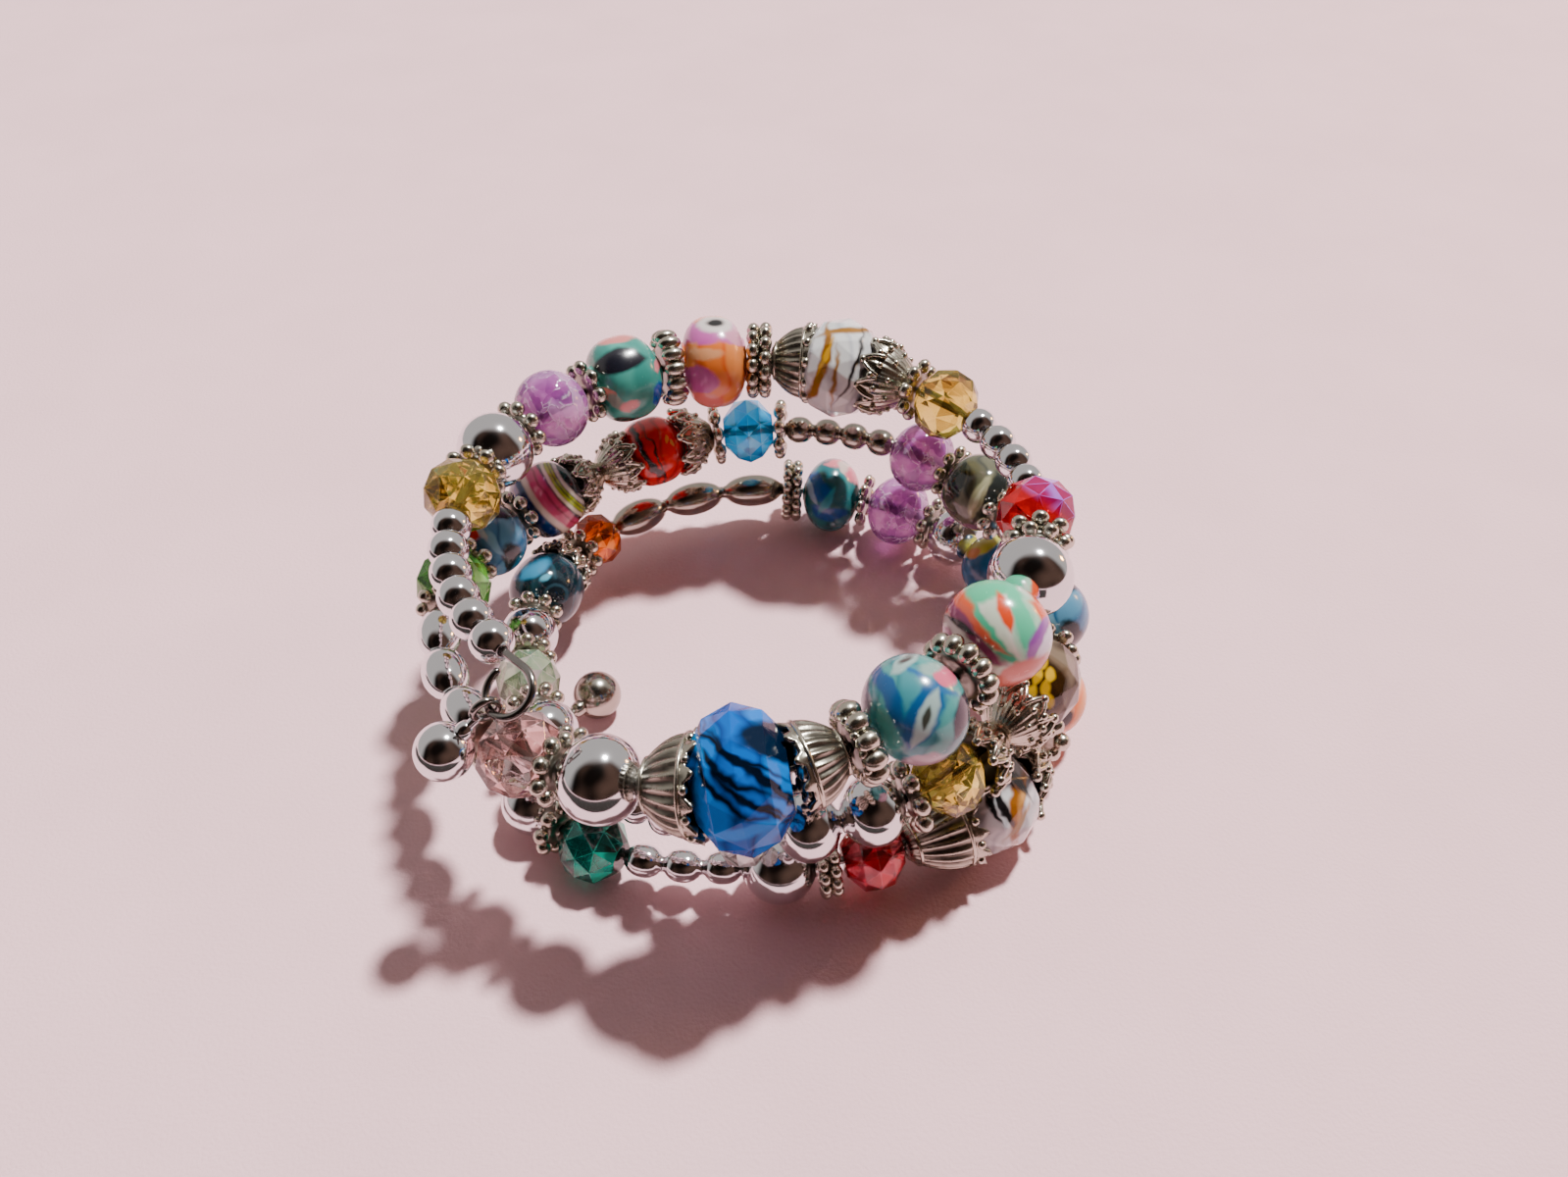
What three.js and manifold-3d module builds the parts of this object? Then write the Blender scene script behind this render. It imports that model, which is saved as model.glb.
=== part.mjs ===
// Memory wire bracelet: one hard springy wire coiled three times round the wrist, strung with glass,
// crystal, clay and silver beads, with a bent loop and a hanging ball at each end.
//
// Millimetres, +Z up. The coil lies on its bottom turn, as it does on a table: z = 0 is the table, and
// the Z axis runs up through the middle of the bracelet's box.

import * as THREE from 'three';
import { mergeVertices } from 'three/addons/utils/BufferGeometryUtils.js';
import Module from 'manifold-3d';

// Driving dimensions
const WIRE_DIAMETER = 0.8;
const WIRE_SIDES = 6;
const BORE_RADIUS = 1.0; // hole through every bead
const END_RADIUS = 1.35; // flat round the hole of a small bead
const SIDES = 10; // flats round a bead
const GAP = 0.3; // between neighbours on the wire
const END_LOOP_RADIUS = 2.3;
const END_LOOP_SWEEP = THREE.MathUtils.degToRad(285);
const DANGLE_BALL_RADIUS = 2.6;
const DANGLE_EYE_RADIUS = 1.15;
const DANGLE_WIRE_RADIUS = 0.35;

// The wire's centre line winds clockwise seen from above, from the top turn down. Each row is an eighth
// of a turn on from the row before it. The radius is measured from COIL_AXIS, the height from the table.
const COIL_AXIS = new THREE.Vector3(0.37, 1.64, 0);
const FIRST_ROW_ANGLE = 270;
const ROW_STEP = 45;
const COIL_ROWS = [
  // radius, height   side
  [29.5, 30.0], //    front, ahead of the first bead
  [30.0, 28.0], //    front left, the first bead
  [29.5, 26.0], //    left
  [29.0, 25.0], //    back left
  [28.5, 24.5], //    back
  [28.5, 24.5], //    back right
  [27.5, 25.0], //    right
  [27.0, 24.5], //    front right
  [30.0, 22.0], //    front, second turn
  [32.5, 18.5], //    front left
  [32.0, 15.0], //    left
  [29.5, 13.0], //    back left
  [29.5, 14.0], //    back
  [29.5, 15.0], //    back right
  [29.5, 15.0], //    right
  [29.5, 14.5], //    front right
  [28.0, 12.0], //    front, third turn
  [25.5, 9.5], //     front left
  [25.0, 7.5], //     left
  [27.5, 5.5], //     back left
  [29.0, 5.0], //     back
  [31.0, 4.5], //     back right
  [31.0, 5.5], //     right
  [29.5, 5.5], //     front right
  [26.5, 4.0], //     front
  [29.0, 3.6], //     front left, the last bead
  [27.0, 3.4], //     left, the end loop
];
const FIRST_BEAD_AT = 23.4; // length of wire from the first row to the first bead

// Finishes: colour, roughness, metalness
const SILVER = [0xc9c9cc, 0.15, 1.0];
const OLD_SILVER = [0x8f8a80, 0.4, 1.0];
const CHAMPAGNE = [0xc9ac74, 0.08, 0.0];
const PURPLE = [0xa678b8, 0.12, 0.0];
const TEAL_CLAY = [0x3f9a94, 0.35, 0.0];
const ORANGE_CLAY = [0xe58a6a, 0.35, 0.0];
const PEACH_CLAY = [0xdcc0a8, 0.35, 0.0];
const BLUE_CLAY = [0x4c86a8, 0.35, 0.0];
const FOIL_GLASS = [0xd8d2c4, 0.08, 0.0];
const RED = [0xb81418, 0.08, 0.0];
const BLUE = [0x0a4fc0, 0.08, 0.0];
const PINK = [0xd8a49a, 0.08, 0.0];
const GREEN = [0x6aa84a, 0.08, 0.0];
const STRIPED = [0xa84468, 0.25, 0.0];
const LIGHT_BLUE = [0x2a9bc8, 0.08, 0.0];
const OLIVE = [0x5a5c46, 0.12, 0.0];
const BROWN = [0x6a4430, 0.1, 0.0];
const DARK_TEAL = [0x1f3f4a, 0.1, 0.0];
const ORANGE = [0xc8500c, 0.08, 0.0];
const EMERALD = [0x0c6a4c, 0.08, 0.0];

// The string, from the top end to the bottom end. A row is a piece of its own, or a short run of
// touching pieces that is one solid. Each piece in a row is [shape, length, diameter, how many].
const STRING = [
  { name: 'silver_rounds_1', finish: SILVER, pieces: [[round, 3.75, 3.9, 6]] },
  { name: 'champagne_crystal_1', finish: CHAMPAGNE, pieces: [[crystal, 6.0, 8.0]] },
  { name: 'silver_ball_1', finish: SILVER, pieces: [[daisy, 1.2, 6.8], [ball, 7.5, 8.0], [daisy, 1.4, 6.8]] },
  { name: 'purple_crackle_bead_1', finish: PURPLE, pieces: [[ball, 7.7, 8.4]] },
  { name: 'daisy_spacer_1', finish: OLD_SILVER, pieces: [[daisy, 1.3, 7.2]] },
  { name: 'teal_clay_bead_1', finish: TEAL_CLAY, pieces: [[barrel, 7.7, 9.6]] },
  { name: 'beaded_ring_1', finish: OLD_SILVER, pieces: [[ring, 2.7, 8.8]] },
  { name: 'orange_clay_barrel', finish: ORANGE_CLAY, pieces: [[barrel, 7.1, 10.4]] },
  { name: 'ring_and_bead_cap', finish: OLD_SILVER, pieces: [[ring, 2.8, 8.7], [capOpening, 3.6, 8.4]] },
  { name: 'foil_glass_bead_1', finish: FOIL_GLASS, pieces: [[barrel, 8.3, 11.4]] },
  { name: 'petal_cap_and_daisy_1', finish: OLD_SILVER, pieces: [[capClosing, 4.4, 9.2], [daisy, 1.3, 7.2]] },
  { name: 'champagne_crystal_2', finish: CHAMPAGNE, pieces: [[crystal, 6.3, 8.0]] },
  { name: 'silver_rounds_2', finish: SILVER, pieces: [[round, 3.6, 3.8, 4]] },
  { name: 'red_flash_crystal', finish: RED, pieces: [[crystal, 6.0, 8.0]] },
  { name: 'silver_ball_2', finish: SILVER, pieces: [[daisy, 1.2, 7.0], [daisy, 1.2, 6.6], [ball, 7.3, 8.1]] },
  { name: 'peach_clay_bead', finish: PEACH_CLAY, pieces: [[ball, 8.7, 10.0]] },
  { name: 'beaded_ring_2', finish: OLD_SILVER, pieces: [[ring, 2.2, 8.0]] },
  { name: 'teal_clay_bead_2', finish: TEAL_CLAY, pieces: [[ball, 8.7, 9.8]] },
  {
    name: 'ring_bell_cap_and_daisy', finish: OLD_SILVER,
    pieces: [[ring, 2.4, 8.0], [capOpening, 3.6, 8.0], [daisy, 1.1, 7.2]],
  },
  { name: 'blue_glass_bead', finish: BLUE, pieces: [[barrel, 8.2, 13.0]] },
  {
    name: 'cone_cap_and_silver_ball_3', finish: SILVER,
    pieces: [[capClosing, 4.2, 9.2], [ball, 7.5, 7.9], [daisy, 1.4, 6.8]],
  },
  { name: 'pink_crystal', finish: PINK, pieces: [[crystal, 6.4, 8.2]] },
  { name: 'silver_ovals_1', finish: SILVER, pieces: [[daisy, 1.4, 6.6], [oval, 6.7, 4.4, 3]] },
  {
    name: 'green_crystal_and_daisies', finish: GREEN,
    pieces: [[daisy, 1.4, 6.0], [crystal, 6.3, 8.0], [daisy, 1.4, 6.8]],
  },
  { name: 'blue_clay_bead_1', finish: BLUE_CLAY, pieces: [[ball, 7.6, 8.2]] },
  { name: 'daisy_spacer_2', finish: OLD_SILVER, pieces: [[daisy, 1.3, 6.8]] },
  { name: 'striped_bead', finish: STRIPED, pieces: [[barrel, 7.4, 8.6]] },
  { name: 'petal_caps', finish: OLD_SILVER, pieces: [[capClosing, 3.5, 7.6], [capOpening, 3.4, 7.6]] },
  { name: 'red_glass_bead', finish: RED, pieces: [[barrel, 7.2, 8.2]] },
  { name: 'scalloped_cap_and_daisy', finish: OLD_SILVER, pieces: [[capClosing, 3.6, 8.4], [daisy, 1.2, 7.4]] },
  { name: 'light_blue_crystal', finish: LIGHT_BLUE, pieces: [[crystal, 5.9, 7.8]] },
  { name: 'silver_rounds_3', finish: SILVER, pieces: [[daisy, 1.3, 7.2], [round, 3.4, 3.2, 4]] },
  { name: 'purple_crackle_bead_2', finish: PURPLE, pieces: [[ball, 7.2, 8.2]] },
  { name: 'daisy_spacer_3', finish: OLD_SILVER, pieces: [[daisy, 1.1, 6.8]] },
  { name: 'olive_glass_bead', finish: OLIVE, pieces: [[barrel, 7.5, 8.4]] },
  {
    name: 'silver_ball_4_and_clay_bead', finish: SILVER,
    pieces: [[daisy, 1.1, 6.8], [round, 3.3, 3.8], [ball, 7.2, 7.8], [daisy, 1.1, 6.8], [ball, 7.8, 8.6],
      [daisy, 1.2, 6.8]],
  },
  { name: 'brown_glass_bead', finish: BROWN, pieces: [[barrel, 8.2, 9.2]] },
  { name: 'flower_caps', finish: OLD_SILVER, pieces: [[capClosing, 3.4, 8.0], [capOpening, 3.4, 8.0]] },
  { name: 'champagne_crystal_3', finish: CHAMPAGNE, pieces: [[crystal, 6.0, 8.0]] },
  { name: 'silver_balls_5', finish: SILVER, pieces: [[daisy, 1.5, 7.4], [ball, 5.9, 6.6, 2]] },
  {
    name: 'smoke_crystals_and_rounds', finish: SILVER,
    pieces: [[crystal, 5.1, 7.0], [round, 3.3, 3.6, 4], [crystal, 5.0, 7.0]],
  },
  {
    name: 'silver_balls_6_and_crystal', finish: SILVER,
    pieces: [[daisy, 1.2, 6.4], [ball, 6.1, 6.4], [daisy, 1.8, 6.4], [crystal, 6.6, 6.8], [daisy, 1.4, 6.4],
      [ball, 5.9, 6.2], [daisy, 1.2, 6.4]],
  },
  { name: 'dark_teal_glass_bead', finish: DARK_TEAL, pieces: [[barrel, 7.4, 8.2]] },
  { name: 'petal_cap_and_daisy_2', finish: OLD_SILVER, pieces: [[capClosing, 3.2, 7.6], [daisy, 1.2, 6.6]] },
  { name: 'orange_crystal', finish: ORANGE, pieces: [[crystal, 4.8, 6.4]] },
  { name: 'silver_ovals_2', finish: SILVER, pieces: [[oval, 7.5, 4.0, 3], [ring, 2.4, 7.8]] },
  { name: 'teal_clay_bead_3', finish: TEAL_CLAY, seated: true, pieces: [[ball, 7.0, 9.2]] },
  { name: 'daisy_spacer_4', finish: OLD_SILVER, pieces: [[daisy, 1.0, 6.8]] },
  { name: 'purple_crackle_bead_3', finish: PURPLE, pieces: [[ball, 7.3, 8.6]] },
  {
    name: 'silver_ball_7_and_clay_bead', finish: SILVER,
    pieces: [[daisy, 1.2, 6.8], [ball, 6.5, 7.2], [ball, 7.4, 8.0], [daisy, 0.8, 6.8], [round, 3.0, 3.8]],
  },
  {
    name: 'clay_beads_and_long_cap', finish: BLUE_CLAY,
    pieces: [[ball, 7.9, 8.6], [daisy, 1.9, 7.6], [ball, 8.5, 8.6], [daisy, 2.4, 7.6], [capOpening, 4.5, 8.4]],
  },
  { name: 'foil_glass_bead_2', finish: FOIL_GLASS, seated: true, pieces: [[barrel, 8.3, 11.0]] },
  { name: 'cone_cap_2', finish: OLD_SILVER, pieces: [[capClosing, 5.4, 8.8]] },
  { name: 'red_crystal', finish: RED, pieces: [[crystal, 5.7, 7.2]] },
  {
    name: 'silver_ball_8_and_rounds', finish: SILVER,
    pieces: [[ring, 2.2, 6.8], [ball, 7.0, 7.1], [round, 3.8, 3.2, 3]],
  },
  { name: 'emerald_crystal', finish: EMERALD, seated: true, pieces: [[crystal, 6.3, 7.2]] },
  { name: 'silver_ball_9', finish: SILVER, pieces: [[daisy, 1.7, 6.4], [ball, 6.4, 6.5]] },
];

// The end loops: how far the bare wire runs on before it curls, and how far the curl leans down.
const TOP_LOOP = { tail: 2.6, dip: THREE.MathUtils.degToRad(33), outward: 1 };
const BOTTOM_LOOP = { tail: 3.6, dip: 0, outward: -1 };

// Centres of the hanging balls, from the coil's axis
const TOP_BALL = new THREE.Vector3(-26.3, -26.9, 21.6);
const BOTTOM_BALL = new THREE.Vector3(-17.7, -3.4, DANGLE_BALL_RADIUS);

// The coil: radius and height run smoothly from row to row while the angle turns evenly.
class Coil extends THREE.Curve {
  constructor(rows) {
    super();
    this.rows = new THREE.SplineCurve(rows.map(([radius, height]) => new THREE.Vector2(radius, height)));
    this.turned = ROW_STEP * (rows.length - 1);
    this.arcLengthDivisions = 40 * rows.length;
  }

  getPoint(t, target = new THREE.Vector3()) {
    const { x: radius, y: height } = this.rows.getPoint(t);
    const angle = THREE.MathUtils.degToRad(FIRST_ROW_ANGLE - this.turned * t);
    return target.set(radius * Math.cos(angle), radius * Math.sin(angle), height).add(COIL_AXIS);
  }

  // The point this far along the wire, and the direction outward from the coil's axis there.
  at(length) {
    const point = this.getPointAt(length / this.getLength());
    const outward = point.clone().sub(COIL_AXIS).setZ(0).normalize();
    return { point, outward };
  }
}

// Outlines of the pieces: [along, radius, scallop] from one end to the other. A scallop draws every
// second corner of that ring in, by that share of the radius.

function bulge(length, diameter, fullness, end) {
  const steps = 5;
  const swell = (u) => (1 - Math.abs(u) ** fullness) ** (1 / fullness);
  const widest = swell(Math.cos((Math.PI * 2) / steps));
  const outline = [];
  for (let k = 0; k <= steps; k++) {
    const u = -Math.cos((Math.PI * k) / steps);
    const radius = Math.max(end, ((diameter / 2) * swell(u)) / widest);
    outline.push([(length * (1 + u)) / 2, radius, 0]);
  }
  return outline;
}

function ball(length, diameter) {
  return bulge(length, diameter, 2, END_RADIUS + 0.35);
}

function barrel(length, diameter) {
  return bulge(length, diameter, 2.6, diameter * 0.27);
}

function oval(length, diameter) {
  return bulge(length, diameter, 2, END_RADIUS);
}

function round(length, diameter) {
  const radius = diameter / 2;
  return [[0, END_RADIUS, 0], [length * 0.28, radius, 0], [length * 0.72, radius, 0], [length, END_RADIUS, 0]];
}

function crystal(length, diameter) {
  const radius = diameter / 2;
  const table = radius * 0.55;
  return [[0, table, 0], [length * 0.34, radius, 0], [length * 0.66, radius, 0], [length, table, 0]];
}

function daisy(length, diameter) {
  const radius = diameter / 2;
  return [[0, radius * 0.6, 0], [length / 2, radius, 0.18], [length, radius * 0.6, 0]];
}

function ring(length, diameter) {
  const radius = diameter / 2;
  return [[0, radius * 0.8, 0], [length * 0.2, radius, 0.1], [length * 0.8, radius, 0.1], [length, radius * 0.8, 0]];
}

// A bead cap whose narrow end comes first on the wire
function capOpening(length, diameter) {
  const radius = diameter / 2;
  return [[0, radius * 0.42, 0], [length * 0.4, radius * 0.8, 0], [length * 0.9, radius, 0.12], [length, radius * 0.88, 0]];
}

// The same cap the other way round
function capClosing(length, diameter) {
  return capOpening(length, diameter).map(([along, ...rest]) => [length - along, ...rest]).reverse();
}

// The outline of a whole row of pieces that touch end to end
function rowOutline(pieces) {
  const outline = [];
  const joints = [0];
  let length = 0;
  for (const [shape, pieceLength, diameter, count = 1] of pieces) {
    for (let n = 0; n < count; n++) {
      for (const [along, radius, scallop] of shape(pieceLength, diameter)) {
        const last = outline[outline.length - 1];
        const repeated = last && last[0] === length + along && last[1] === radius;
        if (!repeated) outline.push([length + along, radius, scallop]);
      }
      length += pieceLength;
      joints.push(length);
    }
  }
  return { outline, joints, length };
}

// One solid on the wire: its outline turned round a straight bore, then bent along the coil. A seated
// piece is slid down by its bore's play, so that one of its flats lies on the table.
function strungGeometry(coil, start, row) {
  const { outline, joints } = rowOutline(row.pieces);
  const bore = joints.map((along) => [along, BORE_RADIUS, 0]).reverse();
  const rings = [...outline, ...bore, outline[0]];
  const points = rings.map(([along, radius]) => new THREE.Vector2(radius, along));
  const geometry = new THREE.LatheGeometry(points, SIDES);
  const widest = Math.max(...outline.map(([, radius]) => radius));
  const position = geometry.getAttribute('position');
  for (let n = 0; n < position.count; n++) {
    const corner = Math.floor(n / rings.length);
    const [along, , scallop] = rings[n % rings.length];
    const drawnIn = corner % 2 === 1 ? 1 - scallop : 1;
    const { point, outward } = coil.at(start + along);
    if (row.seated) point.z = widest * Math.cos(Math.PI / SIDES);
    point.addScaledVector(outward, position.getZ(n) * drawnIn);
    point.z += position.getX(n) * drawnIn;
    position.setXYZ(n, point.x, point.y, point.z);
  }
  return closed(geometry);
}

// Only positions, with the corners that meet made one, and flat normals for display
function closed(geometry) {
  geometry.deleteAttribute('normal');
  geometry.deleteAttribute('uv');
  return mergeVertices(geometry, 1e-4);
}

function mesh(name, geometry, [color, roughness, metalness]) {
  geometry.computeVertexNormals();
  const material = new THREE.MeshStandardMaterial({ color, roughness, metalness, flatShading: true });
  const result = new THREE.Mesh(geometry, material);
  result.name = name;
  return result;
}

// An end loop of the wire: where it curls round, and the way from its centre to each point of it
function endLoop(coil, length, forward, { tail, dip, outward: side }) {
  const { point, outward } = coil.at(length);
  const ahead = coil.at(length + forward).point.sub(point).setZ(0).normalize();
  const across = outward.multiplyScalar(side * Math.cos(dip)).setZ(-Math.sin(dip));
  across.addScaledVector(ahead, -across.dot(ahead)).normalize();
  const curlStart = point.clone().addScaledVector(ahead, tail);
  const centre = curlStart.clone().addScaledVector(across, END_LOOP_RADIUS);
  const steps = 14;
  const points = [];
  for (let k = 0; k <= steps; k++) {
    const turned = (END_LOOP_SWEEP * k) / steps;
    const way = across.clone().multiplyScalar(-Math.cos(turned)).addScaledVector(ahead, Math.sin(turned));
    points.push(centre.clone().addScaledVector(way, END_LOOP_RADIUS));
  }
  return { centre, normal: new THREE.Vector3().crossVectors(ahead, across), points };
}

// A smooth curve whose steps follow its points, so that the tight end loops get as many as they need
class WireCurve extends THREE.CatmullRomCurve3 {
  getUtoTmapping(u) {
    return u;
  }
}

function wireGeometry(coil, from, to, topLoop, bottomLoop) {
  const steps = 92;
  const points = [...topLoop.points].reverse();
  for (let k = 0; k <= steps; k++) points.push(coil.at(from + ((to - from) * k) / steps).point);
  points.push(...bottomLoop.points);
  const section = new THREE.Shape();
  for (let k = 0; k < WIRE_SIDES; k++) {
    const angle = (2 * Math.PI * k) / WIRE_SIDES;
    const corner = [(WIRE_DIAMETER / 2) * Math.cos(angle), (WIRE_DIAMETER / 2) * Math.sin(angle)];
    if (k === 0) section.moveTo(...corner);
    else section.lineTo(...corner);
  }
  const extrudePath = new WireCurve(points);
  return closed(new THREE.ExtrudeGeometry(section, { steps: points.length - 1, extrudePath }));
}

const wasm = await Module();
wasm.setup();

function solid(geometry) {
  const { index, attributes } = closed(geometry);
  const vertProperties = new Float32Array(attributes.position.array);
  return new wasm.Manifold(new wasm.Mesh({ numProp: 3, vertProperties, triVerts: new Uint32Array(index.array) }));
}

function fromSolid(manifold) {
  const { vertProperties, triVerts } = manifold.getMesh();
  const geometry = new THREE.BufferGeometry();
  geometry.setAttribute('position', new THREE.BufferAttribute(vertProperties, 3));
  geometry.setIndex(new THREE.BufferAttribute(triVerts, 1));
  return geometry;
}

// A ball on a short stem, with an eye that goes round the wire of an end loop
function dangleGeometry(loop, ballCentre) {
  const way = ballCentre.clone().sub(loop.centre);
  way.addScaledVector(loop.normal, -way.dot(loop.normal)).normalize();
  const onWire = loop.centre.clone().addScaledVector(way, END_LOOP_RADIUS);
  const down = ballCentre.clone().sub(onWire).normalize();
  const slack = DANGLE_EYE_RADIUS - DANGLE_WIRE_RADIUS - WIRE_DIAMETER / 2 - 0.15;
  const eyeCentre = onWire.clone().addScaledVector(down, slack);
  const wireRuns = new THREE.Vector3().crossVectors(loop.normal, way).normalize();

  const ballShape = new THREE.SphereGeometry(DANGLE_BALL_RADIUS, 14, 9);
  ballShape.rotateX(Math.PI / 2);
  ballShape.translate(...ballCentre);

  const eye = new THREE.TorusGeometry(DANGLE_EYE_RADIUS, DANGLE_WIRE_RADIUS, 6, 14);
  eye.applyQuaternion(new THREE.Quaternion().setFromUnitVectors(new THREE.Vector3(0, 0, 1), wireRuns));
  eye.translate(...eyeCentre);

  const stemStart = eyeCentre.clone().addScaledVector(down, DANGLE_EYE_RADIUS);
  const stemLength = stemStart.distanceTo(ballCentre) - DANGLE_BALL_RADIUS / 2;
  const stem = new THREE.CylinderGeometry(DANGLE_WIRE_RADIUS * 1.3, DANGLE_WIRE_RADIUS * 1.3, stemLength, 8);
  stem.translate(0, stemLength / 2, 0);
  stem.applyQuaternion(new THREE.Quaternion().setFromUnitVectors(new THREE.Vector3(0, 1, 0), down));
  stem.translate(...stemStart);

  return fromSolid(solid(ballShape).add(solid(stem)).add(solid(eye)));
}

function braceletGroup() {
  const group = new THREE.Group();
  const coil = new Coil(COIL_ROWS);
  let along = FIRST_BEAD_AT;
  for (const row of STRING) {
    group.add(mesh(row.name, strungGeometry(coil, along, row), row.finish));
    along += rowOutline(row.pieces).length + GAP;
  }
  const topLoop = endLoop(coil, FIRST_BEAD_AT - GAP, -1, TOP_LOOP);
  const bottomLoop = endLoop(coil, along, 1, BOTTOM_LOOP);
  group.add(mesh('memory_wire', wireGeometry(coil, FIRST_BEAD_AT - GAP, along, topLoop, bottomLoop), SILVER));
  const topBall = TOP_BALL.clone().add(COIL_AXIS);
  const bottomBall = BOTTOM_BALL.clone().add(COIL_AXIS);
  group.add(mesh('ball_dangle_top', dangleGeometry(topLoop, topBall), SILVER));
  group.add(mesh('ball_dangle_bottom', dangleGeometry(bottomLoop, bottomBall), SILVER));
  return group;
}

export default braceletGroup();
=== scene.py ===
"""Looks of a memory wire bracelet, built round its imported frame.

The sizes of beads, caps and wire are in millimetres, as a bead seller gives them. They become metres when
a piece is put on the wire.
"""

import math

import bmesh
import bpy
from mathutils import Matrix, Vector


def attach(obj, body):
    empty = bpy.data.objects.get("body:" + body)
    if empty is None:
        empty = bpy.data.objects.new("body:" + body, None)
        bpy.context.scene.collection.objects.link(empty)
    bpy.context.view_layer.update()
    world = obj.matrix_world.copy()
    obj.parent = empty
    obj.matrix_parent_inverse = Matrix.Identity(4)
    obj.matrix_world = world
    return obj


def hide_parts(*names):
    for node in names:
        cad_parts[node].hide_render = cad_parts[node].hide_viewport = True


bl_info = {
    "name": "Memory Wire Bracelet",
    "version": (1, 0, 0),
    "blender": (4, 5, 0),
    "location": "3D View > Sidebar > Bracelet",
    "description": "Makes the wire, beads, spacers and caps of a memory wire bracelet on its frame",
    "category": "Add Mesh",
}

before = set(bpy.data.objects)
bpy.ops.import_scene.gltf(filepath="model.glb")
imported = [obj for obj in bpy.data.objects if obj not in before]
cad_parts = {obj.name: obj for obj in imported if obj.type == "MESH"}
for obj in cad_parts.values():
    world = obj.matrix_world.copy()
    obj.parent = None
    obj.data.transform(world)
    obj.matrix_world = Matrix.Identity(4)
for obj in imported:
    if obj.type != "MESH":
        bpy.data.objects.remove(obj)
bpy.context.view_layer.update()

MM = 0.001
BORE = 0.5
GAP = 0.3
SHOWN_FROM = Vector((3.0, -95.0, 106.0))  # the place that each bead's pattern faces
OLD = "old silver"

# The wire's centre line, an eighth of a turn to a row: radius from the coil's axis, and height
COIL_AXIS = Vector((0.37, 1.64, 0.0))
FIRST_ROW_ANGLE = 270.0
ROW_STEP = 45.0
COIL_ROWS = (
    (29.5, 30.0), (30.0, 28.0), (29.5, 26.0), (29.0, 25.0), (28.5, 24.5), (28.5, 24.5), (27.5, 25.0),
    (27.0, 24.5), (30.0, 22.0), (32.5, 18.5), (32.0, 15.0), (29.5, 13.0), (29.5, 14.0), (29.5, 15.0),
    (29.5, 15.0), (29.5, 14.5), (28.0, 12.0), (25.5, 9.5), (25.0, 7.5), (27.5, 5.5), (29.0, 5.0),
    (31.0, 4.5), (31.0, 5.5), (29.5, 5.5), (26.5, 4.0), (29.0, 3.6), (27.0, 3.4),
)
FIRST_BEAD_AT = 23.4


class Coil:
    """The wire's centre line, which can be asked for its place at a length along it."""

    SAMPLES = 60  # to a row
    NEARBY = 0.5  # how far to each side of a place the wire's direction is taken

    def __init__(self):
        self.points = [self.point(k / self.SAMPLES) for k in range(self.SAMPLES * (len(COIL_ROWS) - 1) + 1)]
        self.lengths = [0.0]
        for before, after in zip(self.points, self.points[1:]):
            self.lengths.append(self.lengths[-1] + (after - before).length)

    @staticmethod
    def point(row):
        k = min(int(row), len(COIL_ROWS) - 2)
        t = row - k
        values = []
        for column in range(2):
            a, b, c, d = (COIL_ROWS[min(max(k + n, 0), len(COIL_ROWS) - 1)][column] for n in (-1, 0, 1, 2))
            leave, arrive = (c - a) / 2, (d - b) / 2
            curve = (2 * b - 2 * c + leave + arrive) * t + 3 * c - 3 * b - 2 * leave - arrive
            values.append((curve * t + leave) * t + b)
        radius, height = values
        angle = math.radians(FIRST_ROW_ANGLE - ROW_STEP * row)
        return COIL_AXIS + Vector((radius * math.cos(angle), radius * math.sin(angle), height))

    def at(self, length):
        low, high = 0, len(self.lengths) - 1
        while high - low > 1:
            middle = (low + high) // 2
            low, high = (middle, high) if self.lengths[middle] <= length else (low, middle)
        share = (length - self.lengths[low]) / (self.lengths[high] - self.lengths[low])
        return self.points[low].lerp(self.points[high], share)

    def outward(self, length):
        away = self.at(length) - COIL_AXIS
        return Vector((away.x, away.y, 0.0)).normalized()

    def place(self, length, height, spin, lean):
        """Where a bead sits: +X along the wire and +Z on its shown side, then spun and leaning. A bead with a
        height of its own is level."""
        ahead = (self.at(length + self.NEARBY) - self.at(length - self.NEARBY)).normalized()
        point = self.at(length)
        if height is not None:
            point.z = height
            ahead = Vector((ahead.x, ahead.y, 0.0)).normalized()
        face = SHOWN_FROM - point
        face = (face - face.dot(ahead) * ahead).normalized()
        stand = Matrix((ahead, face.cross(ahead), face)).transposed().to_4x4()
        turn = Matrix.Rotation(lean, 4, "Y") @ Matrix.Rotation(spin, 4, "X")
        return Matrix.Translation(point) @ stand @ turn

    @staticmethod
    def facing(point):
        """The turn that brings a bead's shown side to +Z, with +X to its right."""
        front = (SHOWN_FROM - point).normalized()
        right = (Vector((1.0, 0.0, 0.0)) - front.x * front).normalized()
        return Matrix((right, front.cross(right), front))


COIL = Coil()

# ---------------------------------------------------------------- shapes


def circle(count, start=0.0):
    """Angles evenly spread round the wire, beginning at a share of a step."""
    return [math.tau * (n + start) / count for n in range(count)]


def round_wire(along, radius, angle):
    """The point at a radius and an angle round the wire."""
    return along, radius * math.cos(angle), radius * math.sin(angle)


def band(first, second, around):
    """The faces between two rings of points, which begin at first and second."""
    return [(first + n, first + (n + 1) % around, second + (n + 1) % around, second + n)
            for n in range(around)]


def mirrored(half, middle):
    """An outline from its rows on one side, the bore's first, and those of its middle."""
    return [(-along, radius) for along, radius in half] + middle + half[::-1]


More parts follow.
